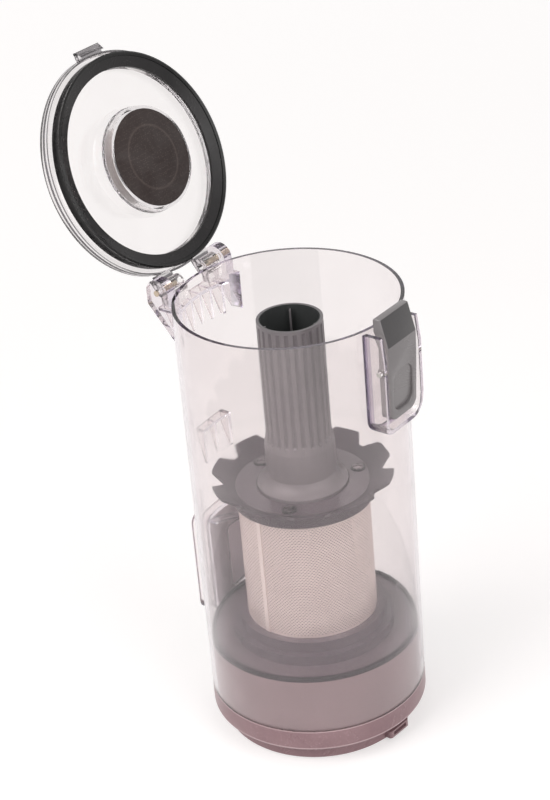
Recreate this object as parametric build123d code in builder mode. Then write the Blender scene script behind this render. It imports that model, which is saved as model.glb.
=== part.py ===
from build123d import *
import math
import os

# Cyclone dust bin standing on its machine end, with the lid swung open.
# The origin is on the bin's axis at the bottom of the spigot, +Z is up,
# the lid hinge and the inlet are at +Y and the lid latch is at -Y.

# Named clearances
RUNNING_GAP = 0.05
SLIP_GAP = 0.2
MOVING_GAP = 0.5

# Clear tube
TUBE_R = 54.0
TUBE_WALL = 1.8
TUBE_HEIGHT = 209.4

# Base ring with its spigot and locking tab
BASE_HEIGHT = 20.6
SPIGOT_STEP = 6.0
SPIGOT_HEIGHT = 9.3
SPIGOT_WALL = 4.0
BASE_WEB = 2.6
BASE_EDGE_R = 1.6
SPIGOT_CHAMFER = 1.0
TAB_TURN = -94.0
TAB_WIDTH = 14.5
TAB_REACH = 3.4
TAB_THICKNESS = 4.0
TAB_BOTTOM = 2.0
TAB_CORNER_R = 1.5
TAB_WALL = 1.0

# Grey cyclone base with its stepped floor
CUP_HEIGHT = 30.0
CUP_WALL = 2.0
FLOOR_STEP_WIDTH = 3.5
FLOOR_STEP_HEIGHT = 5.4
FOOT_STEP_WIDTH = 4.0
FOOT_STEP_HEIGHT = 5.7
SEAL_WIDTH = 1.7
SEAL_HEIGHT = 2.4

# Mesh screen
SCREEN_R = 32.5
SCREEN_WALL = 0.8
SCREEN_HEIGHT = 64.1
SCREEN_RIDGES = 96
SCREEN_RIDGE_HEIGHT = 0.35
RIDGE_START = 0.15
RIDGE_END = 0.4
VALLEY_START = 0.6
VALLEY_END = 0.95
GAP_COLUMNS = 24
GAP_ROWS = 5
GAP_WIDTH = 1.0
GAP_HEIGHT = 9.6
SEAM_ANGLE = 174.0
SEAM_WIDTH = 3.0
SEAM_THICKNESS = 0.5

# Plastic cage inside the screen
CAGE_WALL = 1.4
CAGE_HOOP = 4.0
CAGE_POSTS = 6
CAGE_POST_WIDTH = 4.0

# Inner cyclone cones
CONE_COUNT = 6
CONE_RING_R = 16.6
CONE_WIDE_R = 8.0
CONE_NARROW_R = 4.4
CONE_WALL = 1.2
CONE_PLATE = 2.0
CONE_BOSS_R = 3.2

# Outlet plate with a tube for each cone
OUTLET_PLATE = 2.2
OUTLET_TUBE_R = 4.0
OUTLET_TUBE_WALL = 0.9
OUTLET_TUBE_LENGTH = 15.0
OUTLET_SEAL_HEIGHT = 3.0
OUTLET_SEAL_WIDTH = 2.8

# Toothed skirt and clamp plate
SKIRT_BAND_WIDTH = 2.5
SKIRT_BAND_HEIGHT = 4.7
SKIRT_LEDGE_WIDTH = 3.6
SKIRT_TOOTH_LENGTH = 5.7
SKIRT_RISE = 5.3
SKIRT_WALL = 1.2
SKIRT_TEETH = 10
SKIRT_TIP_ARC = 18.0
SKIRT_VALLEY_ARC = 5.0
SKIRT_CORNER_R = 1.2
SKIRT_TURN = 22.5
PLATE_RIM_WIDTH = 2.0
PLATE_BORE_GAP = 0.4
PLATE_THICKNESS = 1.5
PLATE_LEDGE = 1.4

# Fluted dust tube
DUST_TUBE_R = 15.7
DUST_TUBE_WALL = 1.6
DUST_TUBE_TOP_DROP = 11.0
FLUTES = 24
FLUTE_R = 1.5
FLUTE_DEPTH = 0.55
FLUTE_TOP_BAND = 1.6
FLUTE_END_RISE = 4.5
COLLAR_WALL = 1.3
COLLAR_TAPER = 6.5
COLLAR_TOP = 22.0
COLLAR_BOTTOM = 7.0
HUB_FLARE_WIDTH = 5.2
HUB_HEIGHT = 1.2
HUB_FLANGE_WIDTH = 2.0
HUB_FLANGE_THICKNESS = 1.2
TUBE_RIBS = (36.0, 144.0, 288.0)
TUBE_RIB_DEPTH = 2.4
TUBE_RIB_WIDTH = 0.9
TUBE_RIB_TOP_DROP = 2.0
CONE_GASKET_THICKNESS = 0.8

# Screws
SCREW_COUNT = 3
SCREW_EDGE_WIDTH = 1.75
SCREW_TURN = 83.0
SCREW_HEAD_R = 2.6
SCREW_HEAD = 1.7
SCREW_SHANK_R = 1.4
SCREW_LENGTH = 6.0
SCREW_SLOT_WIDTH = 0.7
SCREW_SLOT_DEPTH = 0.8

# Lid hinge
HINGE_REACH = 4.3
HINGE_DROP = 1.0
LID_OPEN = 113.75
EAR_INNER = 19.0
EAR_THICKNESS = 5.5
EAR_HEAD_R = 6.5
EAR_DROP = 27.0
HINGE_PIN_R = 1.5
HINGE_PIN_PROUD = 0.6
HINGE_PIN_LENGTH = 13.0
SHELF_DROP = 9.0
SHELF_THICKNESS = 1.8
SHELF_REACH = 7.0
GUSSETS = 5
GUSSET_PITCH = 7.4
GUSSET_THICKNESS = 1.5
GUSSET_DROP = 15.0

# Lid, with heights above the rim
LID_GAP = 0.4
LID_HEIGHT = 6.6
LID_EDGE_R = 1.2
LID_GROOVE_HEIGHT = 0.9
LID_GROOVE_DEPTH = 0.8
LID_GROOVE_RISE = 2.4
LID_RIM_WIDTH = 4.4
LID_PANEL = 2.0
LID_PANEL_RISE = 1.2
LID_WALL = 1.8
LID_PLUG_GAP = 2.8
LID_PLUG_DEPTH = 1.4
GASKET_FACE_DEPTH = 1.5
GASKET_DEPTH = 4.4
GASKET_WIDTH = 4.35
GASKET_LIP_WIDTH = 0.8
GASKET_LIP_RISE = 0.5
GASKET_BEAD_INSET = 2.0
GASKET_BEAD_STEP = 0.5
GASKET_WAIST_INSET = 0.5
GASKET_WAIST_RISE = 2.2
BOSS_RIM_WIDTH = 1.6
BOSS_FLARE_WIDTH = 1.8
BOSS_WALL = 1.4
PAD_OVERLAP = 7.5
PAD_THICKNESS = 6.5
PAD_PROUD = 0.8
PAD_SEAT = 1.6
PAD_GAP = 0.3
CATCH_WIDTH = 15.5
CATCH_REACH = 4.0
CATCH_DROP = 2.0
CATCH_TIP_RISE = 0.2
CATCH_TOP_RISE = 2.4
KNUCKLE_WIDTH = 10.0
HEEL_THICKNESS = 4.6

# Latch bracket, lever, pin and spring
BRACKET_HALF_WIDTH = 15.0
BRACKET_WALL = 2.4
BRACKET_BOTTOM_DROP = 52.0
BRACKET_TOP_DROP = 1.4
BRACKET_REACH = 8.8
BRACKET_TIP_REACH = 7.3
BRACKET_CORNER_R = 7.0
BRACKET_SLOPE = 12.0
LEVER_HALF_WIDTH = 11.3
LEVER_FOOT_HALF_WIDTH = 10.2
LEVER_BOTTOM_DROP = 45.5
LEVER_THICKNESS = 2.4
CHEEK_WALL = 1.5
CHEEK_DEPTH = 4.4
LEVER_FACE_REACH = 9.0
LEVER_CREASE_DROP = 7.4
LEVER_TOP_RISE = 6.2
LEVER_TOP_REACH = 5.3
LEVER_FOOT_REACH = 8.0
LEVER_FOOT_R = 5.0
HOOK_REACH = 1.6
HOOK_THICKNESS = 2.8
THUMB_WIDTH = 15.0
THUMB_HEIGHT = 20.0
THUMB_DEPTH = 0.8
THUMB_TILT = 4.0
THUMB_CORNER_R = 5.0
THUMB_BOTTOM_RISE = 4.0
LATCH_PIVOT_REACH = 5.8
LATCH_PIVOT_DROP = 19.5
LATCH_PIN_R = 1.25
LATCH_BARREL_R = 2.4
SPRING_R = 2.6
SPRING_WIRE_R = 0.4
SPRING_PITCH = 1.5
SPRING_DROP = 36.0

# Inlet frame and its guide, and the rear lug
INLET_HALF_WIDTH = 18.0
INLET_BOTTOM = 46.5
INLET_HEIGHT = 56.0
INLET_REACH = 5.0
INLET_WALL = 2.2
INLET_CORNER_R = 5.0
PORT_SIDE = 0.2
PORT_BOTTOM_RISE = 6.0
PORT_HEIGHT = 36.0
PORT_CORNER_R = 3.0
INLET_FLAP_THICKNESS = 1.6
GUIDE_DEPTH = 4.0
GUIDE_THICKNESS = 1.8
GUIDE_FALL = 12.0
LUG_HALF_WIDTH = 11.5
LUG_BOTTOM = 132.0
LUG_HEIGHT = 18.0
LUG_REACH = 5.0
LUG_WALL = 1.6

# Levels and radii worked out from the sizes above
SEAM_Z = BASE_HEIGHT
RIM_Z = BASE_HEIGHT + TUBE_HEIGHT
BORE_R = TUBE_R - TUBE_WALL
SPIGOT_R = TUBE_R - SPIGOT_STEP
SPIGOT_BORE_R = SPIGOT_R - SPIGOT_WALL
FOOT_STEP_R = SCREEN_R + FOOT_STEP_WIDTH
FLOOR_STEP_R = FOOT_STEP_R + FLOOR_STEP_WIDTH
SKIRT_BAND_R = SCREEN_R + SKIRT_BAND_WIDTH
SKIRT_VALLEY_R = SKIRT_BAND_R + SKIRT_LEDGE_WIDTH
SKIRT_TIP_R = SKIRT_VALLEY_R + SKIRT_TOOTH_LENGTH
PLATE_R = SKIRT_BAND_R - PLATE_RIM_WIDTH
COLLAR_R = DUST_TUBE_R + COLLAR_WALL
HUB_R = COLLAR_R + HUB_FLARE_WIDTH
HUB_FLANGE_R = HUB_R + HUB_FLANGE_WIDTH
PLATE_BORE_R = HUB_R + PLATE_BORE_GAP
PAD_R = DUST_TUBE_R + PAD_OVERLAP
BOSS_R = PAD_R + BOSS_RIM_WIDTH
BOSS_ROOT_R = BOSS_R + BOSS_FLARE_WIDTH
LID_PLUG_R = BORE_R - LID_PLUG_GAP
GASKET_INNER_R = LID_PLUG_R - GASKET_WIDTH
INSIDE_R = BORE_R / 2
CUP_R = BORE_R - SLIP_GAP
CUP_SEAT_Z = SPIGOT_HEIGHT + BASE_WEB
FLOOR_Z = SEAM_Z + CUP_HEIGHT
STEP_Z = FLOOR_Z + FLOOR_STEP_HEIGHT
FOOT_Z = STEP_Z + FOOT_STEP_HEIGHT
SCREEN_TOP_Z = FOOT_Z + SCREEN_HEIGHT
CAGE_R = SCREEN_R - SCREEN_WALL - RUNNING_GAP
CAGE_BORE_R = CAGE_R - CAGE_WALL
CONE_PLATE_R = CAGE_BORE_R - SLIP_GAP
SCREW_CIRCLE_R = CONE_PLATE_R - SCREW_EDGE_WIDTH
OUTLET_TOP_Z = FOOT_Z - CUP_WALL
OUTLET_R = FOOT_STEP_R - CUP_WALL - SLIP_GAP
OUTLET_BOTTOM_Z = OUTLET_TOP_Z - OUTLET_PLATE
PLATE_BOTTOM_Z = SCREEN_TOP_Z + SKIRT_BAND_HEIGHT
PLATE_TOP_Z = PLATE_BOTTOM_Z + PLATE_THICKNESS
FLANGE_Z = PLATE_BOTTOM_Z - HUB_FLANGE_THICKNESS
CONE_TOP_Z = FLANGE_Z - CONE_GASKET_THICKNESS
HUB_TOP_Z = PLATE_TOP_Z + HUB_HEIGHT
COLLAR_TOP_Z = PLATE_TOP_Z + COLLAR_TOP
COLLAR_BOTTOM_Z = PLATE_TOP_Z + COLLAR_BOTTOM
DUST_TUBE_BORE_R = DUST_TUBE_R - DUST_TUBE_WALL
DUST_TUBE_TOP_Z = RIM_Z - DUST_TUBE_TOP_DROP
HINGE_Y = TUBE_R + HINGE_REACH
HINGE_Z = RIM_Z - HINGE_DROP
BARREL_R = HINGE_REACH - MOVING_GAP
EAR_OUTER = EAR_INNER + EAR_THICKNESS
BARREL_HALF_WIDTH = EAR_INNER - MOVING_GAP
HEEL_SWING = SHELF_DROP - MOVING_GAP
HEEL_OFFSET = HINGE_REACH - MOVING_GAP / 2
HEEL_LENGTH = math.sqrt(HEEL_SWING**2 - HEEL_OFFSET**2)
LID_BOTTOM_Z = RIM_Z + LID_GAP
LID_TOP_Z = LID_BOTTOM_Z + LID_HEIGHT
PANEL_BOTTOM_Z = RIM_Z + LID_PANEL_RISE
PANEL_TOP_Z = PANEL_BOTTOM_Z + LID_PANEL
PLUG_BOTTOM_Z = RIM_Z - LID_PLUG_DEPTH
GASKET_FACE_Z = PLUG_BOTTOM_Z - GASKET_FACE_DEPTH
GASKET_BOTTOM_Z = PLUG_BOTTOM_Z - GASKET_DEPTH
GASKET_R = BORE_R - SLIP_GAP - RUNNING_GAP
PAD_FACE_Z = DUST_TUBE_TOP_Z + PAD_GAP
BOSS_END_Z = PAD_FACE_Z + PAD_PROUD
PAD_SEAT_Z = PAD_FACE_Z + PAD_THICKNESS
LATCH_Y = -(TUBE_R + LATCH_PIVOT_REACH)
LATCH_Z = RIM_Z - LATCH_PIVOT_DROP
INLET_TOP = INLET_BOTTOM + INLET_HEIGHT

os.makedirs("parts", exist_ok=True)


def outline(points, plane=Plane.XZ):
    """Close straight lines through the points on a plane and return the face."""
    with BuildSketch(plane) as sketch:
        with BuildLine():
            Polyline(*points, close=True)
        make_face()
    return sketch.sketch


def disc(height, radius, bore=0.0):
    """Draw a level disc or ring at a height on the bin's axis."""
    with BuildSketch(Plane.XY.offset(height)) as sketch:
        Circle(radius)
        if bore > 0:
            Circle(bore, mode=Mode.SUBTRACT)
    return sketch.sketch


def lid_point(x, y, z):
    """Carry a point of the closed lid to its place on the open lid."""
    turn = math.radians(LID_OPEN)
    dy = y - HINGE_Y
    dz = z - HINGE_Z
    return (
        x,
        HINGE_Y + dy * math.cos(turn) + dz * math.sin(turn),
        HINGE_Z - dy * math.sin(turn) + dz * math.cos(turn),
    )


def lid_direction(x, y, z):
    """Carry a direction of the closed lid to the open lid."""
    turn = math.radians(LID_OPEN)
    return (
        x,
        y * math.cos(turn) + z * math.sin(turn),
        -y * math.sin(turn) + z * math.cos(turn),
    )


def lid_side(x):
    """Plane at a distance x from the lid's middle, holding closed y and z from the hinge."""
    return Plane(
        origin=(x, HINGE_Y, HINGE_Z),
        x_dir=lid_direction(0, 1, 0),
        z_dir=(1, 0, 0),
    )


LID_PROFILE = Plane(
    origin=lid_point(0, 0, 0),
    x_dir=(1, 0, 0),
    z_dir=lid_direction(0, -1, 0),
)
LID_AXIS = Axis(lid_point(0, 0, 0), lid_direction(0, 0, 1))


# Clear bin body
def ear_outline():
    """Draw one hinge ear, seen along the hinge axis."""
    with BuildSketch(Plane.YZ) as sketch:
        with BuildLine():
            Polyline(
                (INSIDE_R, HINGE_Z - EAR_DROP),
                (TUBE_R - EAR_HEAD_R, HINGE_Z - EAR_DROP),
                (HINGE_Y + EAR_HEAD_R, HINGE_Z - EAR_HEAD_R),
                (HINGE_Y + EAR_HEAD_R, HINGE_Z),
                (HINGE_Y - EAR_HEAD_R, HINGE_Z),
                (HINGE_Y - EAR_HEAD_R, HINGE_Z - EAR_HEAD_R),
                (INSIDE_R, HINGE_Z - EAR_HEAD_R),
                close=True,
            )
        make_face()
        with Locations((HINGE_Y, HINGE_Z)):
            Circle(EAR_HEAD_R)
            Circle(HINGE_PIN_R + RUNNING_GAP, mode=Mode.SUBTRACT)
    return sketch.sketch


def gusset_outline():
    """Draw one gusset under the hinge shelf, seen along the hinge axis."""
    shelf_z = HINGE_Z - SHELF_DROP - SHELF_THICKNESS
    return outline(
        [
            (INSIDE_R, shelf_z),
            (TUBE_R + SHELF_REACH, shelf_z),
            (TUBE_R, shelf_z - GUSSET_DROP),
            (INSIDE_R, shelf_z - GUSSET_DROP),
        ],
        Plane.YZ,
    )


def bracket_outline():
    """Draw the U of the latch bracket, open at the top."""
    bottom = RIM_Z - BRACKET_BOTTOM_DROP
    top = RIM_Z - BRACKET_TOP_DROP
    with BuildSketch(Plane.XZ) as sketch:
        with Locations((0, (bottom + top) / 2)):
            Rectangle(2 * BRACKET_HALF_WIDTH, top - bottom)
        fillet(sketch.vertices().group_by(Axis.Y)[0], BRACKET_CORNER_R)
    with BuildSketch(Plane.XZ) as pocket:
        with Locations((0, (bottom + BRACKET_WALL + top) / 2)):
            Rectangle(2 * (BRACKET_HALF_WIDTH - BRACKET_WALL), top - bottom - BRACKET_WALL)
        fillet(pocket.vertices().group_by(Axis.Y)[0], BRACKET_CORNER_R - BRACKET_WALL)
    return sketch.sketch - pocket.sketch


def bracket_slope(end_z, inner_z):
    """Draw the corner that slopes the bracket's front edge back towards the tube."""
    return outline(
        [
            (-(TUBE_R + BRACKET_TIP_REACH), end_z),
            (-(TUBE_R + BRACKET_REACH), inner_z),
            (-(TUBE_R + 2 * BRACKET_REACH), inner_z),
            (-(TUBE_R + 2 * BRACKET_REACH), end_z),
        ],
        Plane.YZ,
    )


def inlet_outline(inset):
    """Draw the inlet frame's rounded rectangle, inset by a wall."""
    with BuildSketch(Plane.XZ) as sketch:
        with Locations((0, INLET_BOTTOM + INLET_HEIGHT / 2)):
            RectangleRounded(
                2 * (INLET_HALF_WIDTH - inset),
                INLET_HEIGHT - 2 * inset,
                INLET_CORNER_R - inset / 2,
            )
    return sketch.sketch


def lug_outline():
    """Draw the rear lug as a wedge, seen from the side."""
    return outline(
        [
            (INSIDE_R, LUG_BOTTOM),
            (TUBE_R, LUG_BOTTOM),
            (TUBE_R + LUG_REACH, LUG_BOTTOM + LUG_HEIGHT - 2 * LUG_WALL),
            (TUBE_R + LUG_REACH, LUG_BOTTOM + LUG_HEIGHT),
            (INSIDE_R, LUG_BOTTOM + LUG_HEIGHT),
        ],
        Plane.YZ,
    )


def lug_pocket():
    """Draw the hollow behind the lug's sloping face."""
    return outline(
        [
            (TUBE_R, LUG_BOTTOM),
            (TUBE_R + LUG_REACH, LUG_BOTTOM),
            (TUBE_R + LUG_REACH, LUG_BOTTOM + LUG_HEIGHT - LUG_WALL),
            (TUBE_R, LUG_BOTTOM + LUG_HEIGHT - LUG_WALL),
        ],
        Plane.YZ,
    )


def port_outline():
    """Draw the port in the tube's wall, on the side where the air enters."""
    right = INLET_HALF_WIDTH - INLET_WALL
    with BuildSketch(Plane.XZ) as sketch:
        with Locations(((PORT_SIDE + right) / 2, INLET_BOTTOM + PORT_BOTTOM_RISE + PORT_HEIGHT / 2)):
            RectangleRounded(right - PORT_SIDE, PORT_HEIGHT, PORT_CORNER_R)
    return sketch.sketch


def guide_outline():
    """Draw the slanted air guide above the port."""
    half = INLET_HALF_WIDTH - INLET_WALL
    return outline(
        [
            (-half, INLET_TOP),
            (half, INLET_TOP - GUIDE_FALL),
            (half, INLET_TOP - GUIDE_FALL - GUIDE_THICKNESS),
            (-half, INLET_TOP - GUIDE_THICKNESS),
        ]
    )


with BuildPart() as air_guide:
    extrude(
        guide_outline().moved(Location((0, INSIDE_R, 0))),
        amount=-(BORE_R - INSIDE_R + TUBE_WALL / 2),
    )
    extrude(
        disc(INLET_BOTTOM, BORE_R + TUBE_WALL / 2, BORE_R - GUIDE_DEPTH),
        amount=INLET_HEIGHT,
        mode=Mode.INTERSECT,
    )

with BuildPart() as bin_body:
    extrude(disc(SEAM_Z, TUBE_R), amount=TUBE_HEIGHT)
    extrude(ear_outline().moved(Location((EAR_INNER, 0, 0))), amount=EAR_THICKNESS)
    extrude(ear_outline().moved(Location((-EAR_OUTER, 0, 0))), amount=EAR_THICKNESS)
    with BuildSketch(Plane.XY.offset(HINGE_Z - SHELF_DROP - SHELF_THICKNESS)):
        with Locations((0, (INSIDE_R + TUBE_R + SHELF_REACH) / 2)):
            Rectangle(2 * EAR_INNER, TUBE_R + SHELF_REACH - INSIDE_R)
    extrude(amount=SHELF_THICKNESS)
    for step in range(GUSSETS):
        gusset_x = (step - (GUSSETS - 1) / 2) * GUSSET_PITCH
        extrude(gusset_outline().moved(Location((gusset_x, 0, 0))), amount=GUSSET_THICKNESS / 2, both=True)
    extrude(
        bracket_outline().moved(Location((0, -INSIDE_R, 0))),
        amount=TUBE_R + BRACKET_REACH - INSIDE_R,
    )
    bracket_bottom_z = RIM_Z - BRACKET_BOTTOM_DROP
    bracket_top_z = RIM_Z - BRACKET_TOP_DROP
    extrude(
        bracket_slope(bracket_bottom_z, bracket_bottom_z + BRACKET_SLOPE),
        amount=BRACKET_HALF_WIDTH,
        both=True,
        mode=Mode.SUBTRACT,
    )
    extrude(
        bracket_slope(bracket_top_z, bracket_top_z - BRACKET_SLOPE),
        amount=BRACKET_HALF_WIDTH,
        both=True,
        mode=Mode.SUBTRACT,
    )
    with BuildSketch(Plane.YZ):
        with Locations((LATCH_Y, LATCH_Z)):
            Circle(LATCH_PIN_R + RUNNING_GAP)
    extrude(amount=BRACKET_HALF_WIDTH, both=True, mode=Mode.SUBTRACT)
    extrude(
        inlet_outline(0).moved(Location((0, INSIDE_R, 0))),
        amount=-(TUBE_R + INLET_REACH - INSIDE_R),
    )
    extrude(
        inlet_outline(INLET_WALL).moved(Location((0, TUBE_R, 0))),
        amount=-INLET_REACH,
        mode=Mode.SUBTRACT,
    )
    extrude(lug_outline(), amount=LUG_HALF_WIDTH, both=True)
    pocket_width = LUG_HALF_WIDTH - 1.5 * LUG_WALL
    for side in (-1, 1):
        pocket_x = side * (LUG_WALL + pocket_width) / 2
        extrude(
            lug_pocket().moved(Location((pocket_x, 0, 0))),
            amount=pocket_width / 2,
            both=True,
            mode=Mode.SUBTRACT,
        )
    extrude(disc(SEAM_Z, BORE_R), amount=TUBE_HEIGHT, mode=Mode.SUBTRACT)
    extrude(
        port_outline().moved(Location((0, INSIDE_R, 0))),
        amount=-(TUBE_R - INSIDE_R),
        mode=Mode.SUBTRACT,
    )
    add(air_guide.part)
bin_body.part.label = "bin_body"
export_step(bin_body.part, "parts/bin_body.step")


# Inlet flap: a rubber sheet that hangs in the inlet frame and covers the port
with BuildPart() as inlet_flap:
    flap_width = 2 * (INLET_HALF_WIDTH - INLET_WALL - MOVING_GAP)
    flap_height = INLET_HEIGHT - 2 * (INLET_WALL + MOVING_GAP)
    with BuildSketch(Plane.XZ.offset(-(TUBE_R + RUNNING_GAP))):
        with Locations((0, INLET_BOTTOM + INLET_HEIGHT / 2)):
            RectangleRounded(flap_width, flap_height, PORT_CORNER_R)
    extrude(amount=-INLET_FLAP_THICKNESS)
inlet_flap.part.label = "inlet_flap"
export_step(inlet_flap.part, "parts/inlet_flap.step")


# Base ring
with BuildPart() as base_ring:
    revolve(
        outline(
            [
                (SPIGOT_BORE_R, 0),
                (SPIGOT_R - SPIGOT_CHAMFER, 0),
                (SPIGOT_R, SPIGOT_CHAMFER),
                (SPIGOT_R, SPIGOT_HEIGHT),
                (TUBE_R, SPIGOT_HEIGHT),
                (TUBE_R, BASE_HEIGHT),
                (BORE_R, BASE_HEIGHT),
                (BORE_R, CUP_SEAT_Z),
                (SPIGOT_BORE_R, CUP_SEAT_Z),
            ]
        ),
        axis=Axis.Z,
    )
    lower_band = [
        edge
        for edge in base_ring.edges().filter_by(GeomType.CIRCLE)
        if abs(edge.radius - TUBE_R) < 1e-6 and abs(edge.center().Z - SPIGOT_HEIGHT) < 1e-6
    ]
    fillet(lower_band, BASE_EDGE_R)
    with BuildSketch(Plane.XY.offset(TAB_BOTTOM)) as tab:
        with PolarLocations(SPIGOT_R + (TAB_REACH - CUP_WALL) / 2, 1, start_angle=TAB_TURN):
            Rectangle(TAB_REACH + CUP_WALL, TAB_WIDTH)
        fillet(tab.vertices().sort_by_distance((0, 0, TAB_BOTTOM))[2:], TAB_CORNER_R)
    extrude(amount=TAB_THICKNESS)
    with BuildSketch(Plane.XY.offset(TAB_BOTTOM + TAB_WALL)):
        with PolarLocations(SPIGOT_R + TAB_WALL + TAB_REACH / 2, 1, start_angle=TAB_TURN):
            Rectangle(TAB_REACH, TAB_WIDTH - 2 * (TAB_WALL + TAB_CORNER_R))
    extrude(amount=TAB_THICKNESS - 2 * TAB_WALL, mode=Mode.SUBTRACT)
base_ring.part.label = "base_ring"
export_step(base_ring.part, "parts/base_ring.step")


# Cyclone base with its stepped floor
SEAL_R = CUP_R - SEAL_WIDTH
SEAL_BOTTOM_Z = FLOOR_Z - SEAL_HEIGHT / 2
with BuildPart() as cyclone_base:
    revolve(
        outline(
            [
                (CUP_R, CUP_SEAT_Z),
                (CUP_R, SEAL_BOTTOM_Z),
                (SEAL_R, SEAL_BOTTOM_Z),
                (SEAL_R, FLOOR_Z),
                (FLOOR_STEP_R, FLOOR_Z),
                (FLOOR_STEP_R, STEP_Z),
                (FOOT_STEP_R, STEP_Z),
                (FOOT_STEP_R, FOOT_Z),
                (CAGE_BORE_R, FOOT_Z),
                (CAGE_BORE_R, OUTLET_TOP_Z),
                (FOOT_STEP_R - CUP_WALL, OUTLET_TOP_Z),
                (FOOT_STEP_R - CUP_WALL, STEP_Z - CUP_WALL),
                (FLOOR_STEP_R - CUP_WALL, STEP_Z - CUP_WALL),
                (FLOOR_STEP_R - CUP_WALL, FLOOR_Z - CUP_WALL),
                (SEAL_R - CUP_WALL, FLOOR_Z - CUP_WALL),
                (SEAL_R - CUP_WALL, CUP_SEAT_Z),
            ]
        ),
        axis=Axis.Z,
    )
cyclone_base.part.label = "cyclone_base"
export_step(cyclone_base.part, "parts/cyclone_base.step")


# Rubber seal round the cyclone base, with a raised lip
with BuildPart() as base_seal:
    revolve(
        outline(
            [
                (SEAL_R, SEAL_BOTTOM_Z),
                (CUP_R, SEAL_BOTTOM_Z),
                (CUP_R + SLIP_GAP - RUNNING_GAP, FLOOR_Z),
                (CUP_R, SEAL_BOTTOM_Z + SEAL_HEIGHT),
                (SEAL_R, SEAL_BOTTOM_Z + SEAL_HEIGHT),
            ]
        ),
        axis=Axis.Z,
    )
base_seal.part.label = "base_seal"
export_step(base_seal.part, "parts/base_seal.step")


# Mesh screen: a ridged wall with rows of narrow gaps and an overlapped seam
def screen_outline():
    """Draw the screen's section, with one ridge for each bundle of wires."""
    points = []
    for ridge in range(SCREEN_RIDGES):
        for part, radius in (
            (RIDGE_START, SCREEN_R),
            (RIDGE_END, SCREEN_R),
            (VALLEY_START, SCREEN_R - SCREEN_RIDGE_HEIGHT),
            (VALLEY_END, SCREEN_R - SCREEN_RIDGE_HEIGHT),
        ):
            angle = 2 * math.pi * (ridge + part) / SCREEN_RIDGES
            points.append((radius * math.cos(angle), radius * math.sin(angle)))
    with BuildSketch(Plane.XY.offset(FOOT_Z)) as sketch:
        with BuildLine():
            Polyline(*points, close=True)
        make_face()
        Circle(SCREEN_R - SCREEN_WALL, mode=Mode.SUBTRACT)
    return sketch.sketch


gap_pitch = SCREEN_HEIGHT / GAP_ROWS
gap_angle = 360 / GAP_COLUMNS
with BuildPart() as mesh_screen:
    extrude(screen_outline(), amount=SCREEN_HEIGHT)
    for row in range(GAP_ROWS):
        gap_z = FOOT_Z + (row + 0.5) * gap_pitch
        with Locations((0, 0, gap_z)):
            with PolarLocations(SCREEN_R, GAP_COLUMNS, start_angle=gap_angle * (row % 2) / 2):
                Box(4 * SCREEN_WALL, GAP_WIDTH, GAP_HEIGHT, mode=Mode.SUBTRACT)
    seam_middle = SCREEN_R + SEAM_THICKNESS / 2 - SCREEN_RIDGE_HEIGHT
    with Locations((0, 0, FOOT_Z + SCREEN_HEIGHT / 2)):
        with PolarLocations(seam_middle, 1, start_angle=SEAM_ANGLE):
            Box(SEAM_THICKNESS + SCREEN_RIDGE_HEIGHT, SEAM_WIDTH, SCREEN_HEIGHT)
mesh_screen.part.label = "mesh_screen"
export_step(mesh_screen.part, "parts/mesh_screen.step")


# Plastic cage that the screen is wrapped on
def cage_windows():
    """Draw the openings between the cage's posts."""
    with BuildSketch(Plane.XY.offset(FOOT_Z + CAGE_HOOP)) as sketch:
        Circle(CAGE_R + CAGE_WALL)
        Circle(CAGE_BORE_R - CAGE_WALL, mode=Mode.SUBTRACT)
        with PolarLocations(CAGE_R, CAGE_POSTS):
            Rectangle(4 * CAGE_WALL, CAGE_POST_WIDTH, mode=Mode.SUBTRACT)
    return sketch.sketch


with BuildPart() as mesh_frame:
    extrude(disc(FOOT_Z, CAGE_R, CAGE_BORE_R), amount=SCREEN_HEIGHT)
    extrude(cage_windows(), amount=SCREEN_HEIGHT - 2 * CAGE_HOOP, mode=Mode.SUBTRACT)
mesh_frame.part.label = "mesh_frame"
export_step(mesh_frame.part, "parts/mesh_frame.step")


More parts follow.
